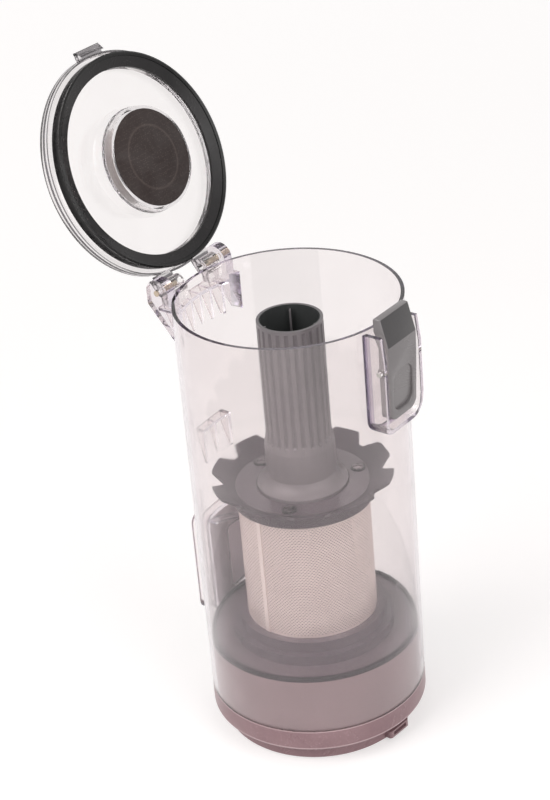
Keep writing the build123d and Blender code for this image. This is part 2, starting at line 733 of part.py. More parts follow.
# Inner cyclone cones: two plates joined by a ring of hollow cones
with BuildPart() as cyclone_cones:
    extrude(disc(OUTLET_TOP_Z, CONE_PLATE_R), amount=CONE_PLATE)
    extrude(disc(CONE_TOP_Z - CONE_PLATE, CONE_PLATE_R), amount=CONE_PLATE)
    cone_height = CONE_TOP_Z - OUTLET_TOP_Z
    cone_middle = OUTLET_TOP_Z + cone_height / 2
    with Locations((0, 0, cone_middle)):
        with PolarLocations(CONE_RING_R, CONE_COUNT):
            Cone(CONE_WIDE_R, CONE_NARROW_R, cone_height)
    with Locations((0, 0, CONE_TOP_Z)):
        with PolarLocations(SCREW_CIRCLE_R, SCREW_COUNT, start_angle=SCREW_TURN):
            Cylinder(
                CONE_BOSS_R,
                PLATE_BOTTOM_Z - CONE_TOP_Z,
                align=(Align.CENTER, Align.CENTER, Align.MIN),
            )
    extrude(
        disc(OUTLET_TOP_Z, CONE_PLATE_R),
        amount=PLATE_BOTTOM_Z - OUTLET_TOP_Z,
        mode=Mode.INTERSECT,
    )
    extrude(
        disc(CONE_TOP_Z, HUB_FLANGE_R + SLIP_GAP),
        amount=PLATE_BOTTOM_Z - CONE_TOP_Z,
        mode=Mode.SUBTRACT,
    )
    with Locations((0, 0, cone_middle)):
        with PolarLocations(CONE_RING_R, CONE_COUNT):
            Cone(CONE_WIDE_R - CONE_WALL, CONE_NARROW_R - CONE_WALL, cone_height, mode=Mode.SUBTRACT)
    with Locations((0, 0, PLATE_BOTTOM_Z)):
        with PolarLocations(SCREW_CIRCLE_R, SCREW_COUNT, start_angle=SCREW_TURN):
            Cylinder(
                SCREW_SHANK_R + RUNNING_GAP,
                SCREW_LENGTH,
                align=(Align.CENTER, Align.CENTER, Align.MAX),
                mode=Mode.SUBTRACT,
            )
    with Locations((0, 0, OUTLET_TOP_Z)):
        with PolarLocations(SCREW_CIRCLE_R, SCREW_COUNT, start_angle=SCREW_TURN):
            Cylinder(
                SCREW_SHANK_R + RUNNING_GAP,
                SCREW_LENGTH,
                align=(Align.CENTER, Align.CENTER, Align.MIN),
                mode=Mode.SUBTRACT,
            )
cyclone_cones.part.label = "cyclone_cones"
export_step(cyclone_cones.part, "parts/cyclone_cones.step")


# Outlet plate with one tube reaching into each cone
with BuildPart() as outlet_plate:
    extrude(disc(OUTLET_BOTTOM_Z, OUTLET_R), amount=OUTLET_PLATE)
    with Locations((0, 0, OUTLET_TOP_Z)):
        with PolarLocations(CONE_RING_R, CONE_COUNT):
            Cylinder(OUTLET_TUBE_R, OUTLET_TUBE_LENGTH, align=(Align.CENTER, Align.CENTER, Align.MIN))
    with Locations((0, 0, OUTLET_BOTTOM_Z)):
        with PolarLocations(CONE_RING_R, CONE_COUNT):
            Cylinder(
                OUTLET_TUBE_R - OUTLET_TUBE_WALL,
                OUTLET_PLATE + OUTLET_TUBE_LENGTH,
                align=(Align.CENTER, Align.CENTER, Align.MIN),
                mode=Mode.SUBTRACT,
            )
        with PolarLocations(SCREW_CIRCLE_R, SCREW_COUNT, start_angle=SCREW_TURN):
            Cylinder(
                SCREW_SHANK_R + RUNNING_GAP,
                OUTLET_PLATE,
                align=(Align.CENTER, Align.CENTER, Align.MIN),
                mode=Mode.SUBTRACT,
            )
outlet_plate.part.label = "outlet_plate"
export_step(outlet_plate.part, "parts/outlet_plate.step")


# Rubber seal under the outlet plate
with BuildPart() as outlet_seal:
    extrude(
        disc(OUTLET_BOTTOM_Z - OUTLET_SEAL_HEIGHT, OUTLET_R, OUTLET_R - OUTLET_SEAL_WIDTH),
        amount=OUTLET_SEAL_HEIGHT,
    )
    fillet(outlet_seal.edges().group_by(Axis.Z)[0], OUTLET_SEAL_WIDTH / 3)
outlet_seal.part.label = "outlet_seal"
export_step(outlet_seal.part, "parts/outlet_seal.step")


# Toothed skirt: a band over the screen's top and a flange that turns up into teeth
def notch_outline():
    """Draw the gap between two teeth, seen from above."""
    valley = math.radians(SKIRT_VALLEY_ARC / 2)
    mouth = math.radians((360 / SKIRT_TEETH - SKIRT_TIP_ARC) / 2)
    valley_x = SKIRT_VALLEY_R * math.cos(valley)
    valley_y = SKIRT_VALLEY_R * math.sin(valley)
    slope = (SKIRT_TIP_R * math.sin(mouth) - valley_y) / (SKIRT_TIP_R * math.cos(mouth) - valley_x)
    outer_x = SKIRT_TIP_R + SKIRT_TOOTH_LENGTH
    outer_y = valley_y + slope * (outer_x - valley_x)
    return outline(
        [(valley_x, -valley_y), (outer_x, -outer_y), (outer_x, outer_y), (valley_x, valley_y)],
        Plane.XY.offset(SCREEN_TOP_Z),
    )


with BuildPart() as skirt:
    revolve(
        outline(
            [
                (PLATE_R - PLATE_LEDGE, SCREEN_TOP_Z),
                (SKIRT_BAND_R, SCREEN_TOP_Z),
                (SKIRT_BAND_R, PLATE_TOP_Z - SKIRT_WALL),
                (SKIRT_TIP_R, PLATE_TOP_Z + SKIRT_RISE - SKIRT_WALL),
                (SKIRT_TIP_R, PLATE_TOP_Z + SKIRT_RISE),
                (PLATE_R, PLATE_TOP_Z),
                (PLATE_R, PLATE_BOTTOM_Z),
                (PLATE_R - PLATE_LEDGE, PLATE_BOTTOM_Z),
            ]
        ),
        axis=Axis.Z,
    )
    for tooth in range(SKIRT_TEETH):
        notch_turn = SKIRT_TURN + tooth * 360 / SKIRT_TEETH
        extrude(
            notch_outline().rotate(Axis.Z, notch_turn),
            amount=PLATE_TOP_Z + SKIRT_RISE - SCREEN_TOP_Z,
            mode=Mode.SUBTRACT,
        )
    fillet(skirt.edges().filter_by(Axis.Z), SKIRT_CORNER_R)
skirt.part.label = "skirt"
export_step(skirt.part, "parts/skirt.step")


# Clamp plate
with BuildPart() as clamp_plate:
    extrude(disc(PLATE_BOTTOM_Z, PLATE_R - RUNNING_GAP, PLATE_BORE_R), amount=PLATE_THICKNESS)
    with Locations((0, 0, PLATE_TOP_Z)):
        with PolarLocations(SCREW_CIRCLE_R, SCREW_COUNT, start_angle=SCREW_TURN):
            Hole(SCREW_SHANK_R + RUNNING_GAP, PLATE_THICKNESS)
clamp_plate.part.label = "clamp_plate"
export_step(clamp_plate.part, "parts/clamp_plate.step")


# Screws: three through the clamp plate and three through the outlet plate
def add_screws(seat, up):
    """Add a ring of pan head screws with crossed slots whose heads point up or down."""
    head_side = Align.MIN if up else Align.MAX
    shank_side = Align.MAX if up else Align.MIN
    slot_z = seat + (SCREW_HEAD if up else -SCREW_HEAD)
    with Locations((0, 0, seat)):
        with PolarLocations(SCREW_CIRCLE_R, SCREW_COUNT, start_angle=SCREW_TURN):
            Cylinder(SCREW_HEAD_R, SCREW_HEAD, align=(Align.CENTER, Align.CENTER, head_side))
            Cylinder(SCREW_SHANK_R, SCREW_LENGTH, align=(Align.CENTER, Align.CENTER, shank_side))
    with Locations((0, 0, slot_z)):
        with PolarLocations(SCREW_CIRCLE_R, SCREW_COUNT, start_angle=SCREW_TURN):
            Box(SCREW_HEAD_R, SCREW_SLOT_WIDTH, 2 * SCREW_SLOT_DEPTH, mode=Mode.SUBTRACT)
            Box(SCREW_SLOT_WIDTH, SCREW_HEAD_R, 2 * SCREW_SLOT_DEPTH, mode=Mode.SUBTRACT)


with BuildPart() as plate_screws:
    add_screws(PLATE_TOP_Z, True)
plate_screws.part.label = "plate_screws"
export_step(plate_screws.part, "parts/plate_screws.step")

with BuildPart() as outlet_screws:
    add_screws(OUTLET_BOTTOM_Z, False)
outlet_screws.part.label = "outlet_screws"
export_step(outlet_screws.part, "parts/outlet_screws.step")


# Rubber gasket between the cones and the dust tube
with BuildPart() as cone_gasket:
    extrude(disc(CONE_TOP_Z, HUB_FLANGE_R, HUB_R), amount=CONE_GASKET_THICKNESS)
cone_gasket.part.label = "cone_gasket"
export_step(cone_gasket.part, "parts/cone_gasket.step")


# Fluted dust tube on its hub
def hub_profile():
    """Draw half the tube's section, with a curve from the hub up to the collar."""
    curve_r = 2 * (HUB_R - COLLAR_R)
    inner_hub = (HUB_R - DUST_TUBE_WALL, HUB_TOP_Z - DUST_TUBE_WALL)
    inner_collar = (COLLAR_R - DUST_TUBE_WALL, COLLAR_BOTTOM_Z)
    with BuildSketch(Plane.XZ) as sketch:
        with BuildLine():
            Polyline(
                inner_collar,
                (DUST_TUBE_BORE_R, COLLAR_BOTTOM_Z + DUST_TUBE_WALL),
                (DUST_TUBE_BORE_R, DUST_TUBE_TOP_Z),
                (DUST_TUBE_R, DUST_TUBE_TOP_Z),
                (DUST_TUBE_R, COLLAR_TOP_Z + COLLAR_TAPER),
                (COLLAR_R, COLLAR_TOP_Z),
                (COLLAR_R, COLLAR_BOTTOM_Z),
            )
            RadiusArc((COLLAR_R, COLLAR_BOTTOM_Z), (HUB_R, HUB_TOP_Z), -curve_r)
            Polyline(
                (HUB_R, HUB_TOP_Z),
                (HUB_R, PLATE_BOTTOM_Z),
                (HUB_FLANGE_R, PLATE_BOTTOM_Z),
                (HUB_FLANGE_R, FLANGE_Z),
                (HUB_R - DUST_TUBE_WALL, FLANGE_Z),
                inner_hub,
            )
            RadiusArc(inner_hub, inner_collar, curve_r + DUST_TUBE_WALL)
        make_face()
    return sketch.sketch


with BuildPart() as dust_tube:
    revolve(hub_profile(), axis=Axis.Z)
    flute_bottom = COLLAR_TOP_Z + FLUTE_END_RISE
    flute_length = DUST_TUBE_TOP_Z - FLUTE_TOP_BAND - flute_bottom
    with Locations((0, 0, flute_bottom)):
        with PolarLocations(DUST_TUBE_R - FLUTE_DEPTH + FLUTE_R, FLUTES):
            Cylinder(
                FLUTE_R,
                flute_length,
                align=(Align.CENTER, Align.CENTER, Align.MIN),
                mode=Mode.SUBTRACT,
            )
            Sphere(FLUTE_R, mode=Mode.SUBTRACT)
    rib_length = DUST_TUBE_TOP_Z - TUBE_RIB_TOP_DROP - COLLAR_TOP_Z
    rib_middle_r = DUST_TUBE_BORE_R - TUBE_RIB_DEPTH / 2 + DUST_TUBE_WALL / 4
    for rib_turn in TUBE_RIBS:
        with Locations((0, 0, COLLAR_TOP_Z + rib_length / 2)):
            with PolarLocations(rib_middle_r, 1, start_angle=rib_turn):
                Box(TUBE_RIB_DEPTH + DUST_TUBE_WALL / 2, TUBE_RIB_WIDTH, rib_length)
dust_tube.part.label = "dust_tube"
export_step(dust_tube.part, "parts/dust_tube.step")


# Hinge pins, one in each ear
with BuildPart() as hinge_pin:
    pin_end = EAR_OUTER + HINGE_PIN_PROUD
    for pin_start in (-pin_end, pin_end - HINGE_PIN_LENGTH):
        with BuildSketch(Plane.YZ.offset(pin_start)):
            with Locations((HINGE_Y, HINGE_Z)):
                Circle(HINGE_PIN_R)
        extrude(amount=HINGE_PIN_LENGTH)
hinge_pin.part.label = "hinge_pin"
export_step(hinge_pin.part, "parts/hinge_pin.step")


# Lid shell: rim, panel, gasket wall and pad boss in one turned form
def lid_profile():
    """Draw half the lid's section in its closed place."""
    rim_bore = TUBE_R - LID_RIM_WIDTH
    groove_z = LID_BOTTOM_Z + LID_GROOVE_RISE
    return outline(
        [
            (0, PAD_SEAT_Z),
            (PAD_R + RUNNING_GAP, PAD_SEAT_Z),
            (PAD_R + RUNNING_GAP, BOSS_END_Z),
            (BOSS_R, BOSS_END_Z),
            (BOSS_ROOT_R, PANEL_BOTTOM_Z),
            (LID_PLUG_R - LID_RIM_WIDTH, PANEL_BOTTOM_Z),
            (LID_PLUG_R - LID_WALL, PLUG_BOTTOM_Z),
            (LID_PLUG_R, PLUG_BOTTOM_Z),
            (LID_PLUG_R, LID_BOTTOM_Z),
            (TUBE_R, LID_BOTTOM_Z),
            (TUBE_R, groove_z),
            (TUBE_R - LID_GROOVE_DEPTH, groove_z),
            (TUBE_R - LID_GROOVE_DEPTH, groove_z + LID_GROOVE_HEIGHT),
            (TUBE_R, groove_z + LID_GROOVE_HEIGHT),
            (TUBE_R, LID_TOP_Z - LID_EDGE_R),
            (TUBE_R - LID_EDGE_R, LID_TOP_Z),
            (rim_bore, LID_TOP_Z),
            (rim_bore, PANEL_TOP_Z),
            (BOSS_ROOT_R - BOSS_WALL, PANEL_TOP_Z),
            (BOSS_R - BOSS_WALL, PAD_SEAT_Z + PAD_SEAT),
            (0, PAD_SEAT_Z + PAD_SEAT),
        ],
        LID_PROFILE,
    )


def knuckle_outline(side):
    """Draw a hinge arm and barrel, measured from the hinge with the lid closed."""
    arm_bottom = LID_BOTTOM_Z - HINGE_Z + RUNNING_GAP
    arm_top = arm_bottom + BARREL_R
    with BuildSketch(lid_side(side)) as sketch:
        Circle(BARREL_R)
        with BuildLine():
            Polyline(
                (0, arm_bottom),
                (0, arm_top - arm_bottom),
                (-HINGE_REACH - LID_RIM_WIDTH / 2, arm_top),
                (-HINGE_REACH - LID_RIM_WIDTH / 2, arm_bottom),
                close=True,
            )
        make_face()
    return sketch.sketch


def heel_outline(side):
    """Draw a stop heel, which hangs below the hinge and meets the tube when open."""
    with BuildSketch(Plane.YZ.offset(side)) as sketch:
        with Locations((TUBE_R + MOVING_GAP / 2 + HEEL_THICKNESS / 2, HINGE_Z - HEEL_LENGTH / 2)):
            Rectangle(HEEL_THICKNESS, HEEL_LENGTH)
    return sketch.sketch


def catch_outline():
    """Draw the catch tab on the lid's front edge, measured from the hinge with the lid closed."""
    front = -(HINGE_Y + TUBE_R + CATCH_REACH)
    heel = -(HINGE_Y + TUBE_R + MOVING_GAP)
    back = -(HINGE_Y + TUBE_R - LID_RIM_WIDTH / 2)
    bottom = LID_BOTTOM_Z - HINGE_Z
    return outline(
        [
            (back, bottom),
            (heel, bottom),
            (heel, bottom - CATCH_DROP),
            (front, bottom + CATCH_TIP_RISE),
            (front, bottom + CATCH_TOP_RISE),
            (back, bottom + CATCH_TOP_RISE),
        ],
        lid_side(-CATCH_WIDTH / 2),
    )


with BuildPart() as lid_shell:
    revolve(lid_profile(), axis=LID_AXIS)
    for knuckle_x in (-BARREL_HALF_WIDTH, BARREL_HALF_WIDTH - KNUCKLE_WIDTH):
        extrude(knuckle_outline(knuckle_x), amount=KNUCKLE_WIDTH)
        extrude(heel_outline(knuckle_x), amount=KNUCKLE_WIDTH)
    extrude(catch_outline(), amount=CATCH_WIDTH)
    with BuildSketch(lid_side(-BARREL_HALF_WIDTH)):
        Circle(HINGE_PIN_R + RUNNING_GAP)
    extrude(amount=2 * BARREL_HALF_WIDTH, mode=Mode.SUBTRACT)
lid_shell.part.label = "lid_shell"
export_step(lid_shell.part, "parts/lid_shell.step")


# Lid gasket: a dished face that runs out to a lip, and a waist behind the lip
bead_r = GASKET_R - GASKET_BEAD_INSET
bead_part = (bead_r - GASKET_INNER_R) / (GASKET_R - GASKET_LIP_WIDTH - GASKET_INNER_R)
bead_z = GASKET_FACE_Z + bead_part * (GASKET_BOTTOM_Z - GASKET_FACE_Z)
with BuildPart() as lid_gasket:
    revolve(
        outline(
            [
                (GASKET_INNER_R, PLUG_BOTTOM_Z),
                (GASKET_INNER_R, GASKET_FACE_Z),
                (bead_r, bead_z + GASKET_BEAD_STEP),
                (bead_r, bead_z),
                (GASKET_R - GASKET_LIP_WIDTH, GASKET_BOTTOM_Z),
                (GASKET_R, GASKET_BOTTOM_Z + GASKET_LIP_RISE),
                (GASKET_R - GASKET_WAIST_INSET, GASKET_BOTTOM_Z + GASKET_WAIST_RISE),
                (GASKET_R - GASKET_WAIST_INSET, LID_BOTTOM_Z - RUNNING_GAP),
                (LID_PLUG_R + RUNNING_GAP, LID_BOTTOM_Z - RUNNING_GAP),
                (LID_PLUG_R + RUNNING_GAP, PLUG_BOTTOM_Z),
            ],
            LID_PROFILE,
        ),
        axis=LID_AXIS,
    )
lid_gasket.part.label = "lid_gasket"
export_step(lid_gasket.part, "parts/lid_gasket.step")


# Lid pad that closes the dust tube
with BuildPart() as lid_pad:
    revolve(
        outline(
            [
                (0, PAD_FACE_Z),
                (PAD_R - PAD_PROUD / 2, PAD_FACE_Z),
                (PAD_R, PAD_FACE_Z + PAD_PROUD / 2),
                (PAD_R, PAD_SEAT_Z),
                (0, PAD_SEAT_Z),
            ],
            LID_PROFILE,
        ),
        axis=LID_AXIS,
    )
lid_pad.part.label = "lid_pad"
export_step(lid_pad.part, "parts/lid_pad.step")


# Latch lever: a curved plate with a hook at its top and a barrel on its pivot
def lever_outline():
    """Draw the lever seen from the side."""
    face_y = -(TUBE_R + LEVER_FACE_REACH)
    foot_y = -(TUBE_R + LEVER_FOOT_REACH)
    top_y = -(TUBE_R + LEVER_TOP_REACH)
    crease_z = RIM_Z - LEVER_CREASE_DROP
    top_z = RIM_Z + LEVER_TOP_RISE
    foot_z = RIM_Z - LEVER_BOTTOM_DROP
    hook_z = top_z - HOOK_THICKNESS
    with BuildSketch(Plane.YZ) as sketch:
        with BuildLine():
            Polyline(
                (foot_y, foot_z),
                (face_y, crease_z),
                (top_y, top_z),
                (-(TUBE_R + HOOK_REACH), top_z),
                (-(TUBE_R + HOOK_REACH), hook_z),
                (top_y + LEVER_THICKNESS / 4, hook_z),
                (face_y + LEVER_THICKNESS, crease_z),
                (foot_y + LEVER_THICKNESS, foot_z),
                close=True,
            )
        make_face()
    return sketch.sketch


def cheek_outline():
    """Draw one of the lever's side walls, deepest beside the hook."""
    face_y = -(TUBE_R + LEVER_FACE_REACH)
    foot_y = -(TUBE_R + LEVER_FOOT_REACH)
    hook_y = -(TUBE_R + HOOK_REACH)
    crease_z = RIM_Z - LEVER_CREASE_DROP
    top_z = RIM_Z + LEVER_TOP_RISE
    foot_z = RIM_Z - LEVER_BOTTOM_DROP
    return outline(
        [
            (foot_y, foot_z),
            (face_y, crease_z),
            (-(TUBE_R + LEVER_TOP_REACH), top_z),
            (hook_y, top_z),
            (hook_y, RIM_Z),
            (face_y + CHEEK_DEPTH, crease_z),
            (foot_y + CHEEK_DEPTH, foot_z),
        ],
        Plane.YZ,
    )


def lever_front():
    """Draw the lever seen from the front, narrower and rounded at its foot."""
    foot_z = RIM_Z - LEVER_BOTTOM_DROP
    top_z = RIM_Z + LEVER_TOP_RISE
    with BuildSketch(Plane.XZ) as sketch:
        with BuildLine():
            Polyline(
                (-LEVER_FOOT_HALF_WIDTH, foot_z),
                (LEVER_FOOT_HALF_WIDTH, foot_z),
                (LEVER_HALF_WIDTH, LATCH_Z),
                (LEVER_HALF_WIDTH, top_z),
                (-LEVER_HALF_WIDTH, top_z),
                (-LEVER_HALF_WIDTH, LATCH_Z),
                close=True,
            )
        make_face()
        fillet(sketch.vertices().group_by(Axis.Y)[0], LEVER_FOOT_R)
    return sketch.sketch


def thumb_outline():
    """Draw the thumb recess on a plane that goes deeper into the lever towards its foot."""
    middle_z = RIM_Z - LEVER_BOTTOM_DROP + THUMB_BOTTOM_RISE + THUMB_HEIGHT / 2
    tilt = math.radians(THUMB_TILT)
    recess = Plane(
        origin=(0, THUMB_DEPTH - TUBE_R - LEVER_FOOT_REACH, middle_z),
        x_dir=(1, 0, 0),
        z_dir=(0, -math.cos(tilt), -math.sin(tilt)),
    )
    with BuildSketch(recess) as sketch:
        RectangleRounded(THUMB_WIDTH, THUMB_HEIGHT, THUMB_CORNER_R)
    return sketch.sketch


with BuildPart() as latch_lever:
    extrude(lever_outline(), amount=LEVER_HALF_WIDTH, both=True)
    for cheek_x in (-LEVER_HALF_WIDTH, LEVER_HALF_WIDTH - CHEEK_WALL):
        extrude(cheek_outline().moved(Location((cheek_x, 0, 0))), amount=CHEEK_WALL)
    with BuildSketch(Plane.YZ):
        with Locations((LATCH_Y, LATCH_Z)):
            Circle(LATCH_BARREL_R)
    extrude(amount=LEVER_HALF_WIDTH, both=True)
    extrude(lever_front().moved(Location((0, -INSIDE_R, 0))), amount=2 * TUBE_R, mode=Mode.INTERSECT)
    extrude(thumb_outline(), amount=LEVER_FACE_REACH, mode=Mode.SUBTRACT)
    with BuildSketch(Plane.YZ):
        with Locations((LATCH_Y, LATCH_Z)):
            Circle(LATCH_PIN_R + RUNNING_GAP)
    extrude(amount=LEVER_HALF_WIDTH, both=True, mode=Mode.SUBTRACT)
latch_lever.part.label = "latch_lever"
export_step(latch_lever.part, "parts/latch_lever.step")


# Latch pin
with BuildPart() as latch_pin:
    with BuildSketch(Plane.YZ):
        with Locations((LATCH_Y, LATCH_Z)):
            Circle(LATCH_PIN_R)
    extrude(amount=BRACKET_HALF_WIDTH, both=True)
latch_pin.part.label = "latch_pin"
export_step(latch_pin.part, "parts/latch_pin.step")


# Latch spring between the tube and the lever's foot
spring_start = -(TUBE_R + SPRING_WIRE_R + RUNNING_GAP)
spring_end = -(TUBE_R + LEVER_FOOT_REACH - LEVER_THICKNESS - SPRING_WIRE_R - RUNNING_GAP)
with BuildPart() as latch_spring:
    with BuildLine():
        coil = Helix(
            SPRING_PITCH,
            spring_start - spring_end,
            SPRING_R,
            center=(0, spring_start, RIM_Z - SPRING_DROP),
            direction=(0, -1, 0),
        )
    with BuildSketch(Plane(origin=coil @ 0, z_dir=coil % 0)):
        Circle(SPRING_WIRE_R)
    sweep(is_frenet=True)
latch_spring.part.label = "latch_spring"
export_step(latch_spring.part, "parts/latch_spring.step")
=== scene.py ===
"""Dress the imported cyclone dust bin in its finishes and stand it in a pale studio."""

import logging
import math
from collections.abc import Callable
from dataclasses import dataclass, field
from enum import Enum

import bmesh
import bpy
from mathutils import Euler, Matrix, Vector


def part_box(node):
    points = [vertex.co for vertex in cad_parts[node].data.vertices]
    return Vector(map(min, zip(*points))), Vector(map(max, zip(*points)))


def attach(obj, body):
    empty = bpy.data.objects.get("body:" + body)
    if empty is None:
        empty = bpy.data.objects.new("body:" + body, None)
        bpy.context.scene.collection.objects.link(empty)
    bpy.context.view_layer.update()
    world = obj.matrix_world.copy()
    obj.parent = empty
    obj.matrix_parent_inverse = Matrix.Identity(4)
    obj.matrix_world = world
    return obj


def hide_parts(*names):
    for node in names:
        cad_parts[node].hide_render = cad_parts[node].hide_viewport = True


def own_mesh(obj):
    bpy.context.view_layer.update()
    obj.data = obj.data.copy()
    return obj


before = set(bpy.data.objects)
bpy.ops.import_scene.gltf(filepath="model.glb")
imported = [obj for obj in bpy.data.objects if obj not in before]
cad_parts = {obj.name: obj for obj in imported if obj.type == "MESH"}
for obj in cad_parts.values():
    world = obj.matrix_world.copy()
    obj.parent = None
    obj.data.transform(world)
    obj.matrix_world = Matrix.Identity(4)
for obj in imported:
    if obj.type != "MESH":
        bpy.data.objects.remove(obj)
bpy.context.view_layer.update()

LOG = logging.getLogger("dust_bin")
Colour = tuple[float, float, float, float]
Pair = tuple[float, float]
Triple = tuple[float, float, float]
Socket = bpy.types.NodeSocket
Node = bpy.types.Node
NodeTree = bpy.types.NodeTree
BMesh = bmesh.types.BMesh
BMVert = bmesh.types.BMVert
BMEdge = bmesh.types.BMEdge
BMFace = bmesh.types.BMFace

ORIGIN = (0.0, 0.0, 0.0)
UPRIGHT = (0.0, 0.0, 1.0)
LID_HINGE = Vector((0.0, 0.0583, 0.229))
LID_OPEN = math.radians(113.75)
SEAM_TURN = 174.0

# Widths over which two tones of one piece meet.
FINE_EDGE = 0.0001
SOFT_EDGE = 0.0002

# Edges past the first angle are shaded as edges, past the second they may be rounded,
# and below the third they are taken out as flat.
SHADE_ANGLE = math.radians(30.0)
ROUND_ANGLE = math.radians(35.0)
FLAT_ANGLE = math.radians(0.5)

# Points nearer than these are one point.
SPUN_MERGE = 1e-7
NODE_MERGE = 1e-6


def tone(red: int, green: int, blue: int) -> Colour:
    """Turn a colour from the 0 to 255 scale of a screen into a linear one, by the sRGB curve.

    Args:
        red: Red on the screen's scale.
        green: Green on the screen's scale.
        blue: Blue on the screen's scale.

    Returns:
        The linear colour with a full alpha.
    """
    parts = [value / 255 for value in (red, green, blue)]
    linear = [part / 12.92 if part <= 0.04045 else ((part + 0.055) / 1.055) ** 2.4 for part in parts]
    return (linear[0], linear[1], linear[2], 1.0)


class Body(Enum):
    """The bodies that a piece can move with."""

    BIN = "bin"
    LID = "lid"
    LATCH = "latch"


class Effect(Enum):
    """Surface effects that several finishes share."""

    GRAIN = "moulded_grain"
    MARKS = "handling_marks"
    HAIRLINES = "hairline_scratches"


class NodeBoard:
    """A node tree with short calls for adding nodes and joining their sockets."""

    def __init__(self, tree: NodeTree) -> None:
        """Empty the tree and keep it."""
        self.tree = tree
        tree.nodes.clear()

    def add(self, kind: str, settings: dict[str, object] | None = None, **sockets: object) -> Node:
        """Add a node.

        Args:
            kind: The node's Blender type.
            settings: Properties of the node, by name.
            **sockets: Input sockets by name, with spaces as underscores; a value or a socket to join.

        Returns:
            The new node.
        """
        node = self.tree.nodes.new(kind)
        for name, value in (settings or {}).items():
            setattr(node, name, value)
        for name, value in sockets.items():
            self.put(node.inputs[name.replace("_", " ")], value)
        return node

    def put(self, socket: Socket, value: object) -> None:
        """Join a socket to an output, or set its value.

        Args:
            socket: The input socket.
            value: An output socket or a plain value.
        """
        if isinstance(value, Socket):
            self.tree.links.new(value, socket)
        else:
            socket.default_value = value

    def math(self, operation: str, *values: object) -> Socket:
        """Add a math node.

        Args:
            operation: The node's operation.
            *values: Its inputs in order, numbers or sockets.

        Returns:
            The node's output.
        """
        node = self.add("ShaderNodeMath", {"operation": operation})
        for socket, value in zip(node.inputs, values):
            self.put(socket, value)
        return node.outputs[0]

    def times(self, first: object, second: object) -> Socket:
        """Multiply two values, each a number or a socket."""
        return self.math("MULTIPLY", first, second)

    def union(self, *masks: Socket) -> Socket:
        """Join masks into one.

        Args:
            *masks: The masks.

        Returns:
            The highest of them at each place.
        """
        whole = masks[0]
        for mask in masks[1:]:
            whole = self.math("MAXIMUM", whole, mask)
        return whole

    def span(
        self, value: Socket, low: float, high: float, to_low: object = 0.0, to_high: object = 1.0
    ) -> Socket:
        """Map a value from one span to another.

        Args:
            value: The value to map.
            low: Start of the span it comes from.
            high: End of the span it comes from.
            to_low: Start of the span it goes to.
            to_high: End of the span it goes to.

        Returns:
            The mapped value.
        """
        node = self.add("ShaderNodeMapRange")
        for socket, put in zip(node.inputs, (value, low, high, to_low, to_high)):
            self.put(socket, put)
        return node.outputs[0]

    def window(self, value: Socket, low: float, high: float, soft: float) -> Socket:
        """Mask a span of a value.

        Args:
            value: The value to mask.
            low: Start of the span.
            high: End of the span.
            soft: Width over which the mask fades in and out.

        Returns:
            1 within the span and 0 outside it.
        """
        rise = self.span(value, low, low + soft)
        fall = self.span(value, high - soft, high, 1.0, 0.0)
        return self.times(rise, fall)

    def around(self, place: Socket) -> tuple[Socket, Socket]:
        """Measure a place from the upright axis.

        Args:
            place: The place.

        Returns:
            The distance from the axis, and the height.
        """
        axes = self.add("ShaderNodeSeparateXYZ", Vector=place).outputs
        square = [self.times(axes[name], axes[name]) for name in ("X", "Y")]
        return self.math("SQRT", self.math("ADD", *square)), axes["Z"]

    def blend(self, mask: object, first: object, second: object) -> Socket:
        """Blend two colours by a mask.

        Args:
            mask: 0 for the first colour and 1 for the second.
            first: A colour or a colour socket.
            second: A colour or a colour socket.

        Returns:
            The blended colour.
        """
        node = self.add("ShaderNodeMix", {"data_type": "RGBA"})
        colours = [socket for socket in node.inputs if socket.type == "RGBA"]
        self.put(node.inputs[0], mask)
        self.put(colours[0], first)
        self.put(colours[1], second)
        return next(socket for socket in node.outputs if socket.type == "RGBA")

    def noise(self, vector: Socket, scale: object, **sockets: float) -> Socket:
        """Add a noise texture and give its value."""
        return self.add("ShaderNodeTexNoise", Vector=vector, Scale=scale, **sockets).outputs[0]


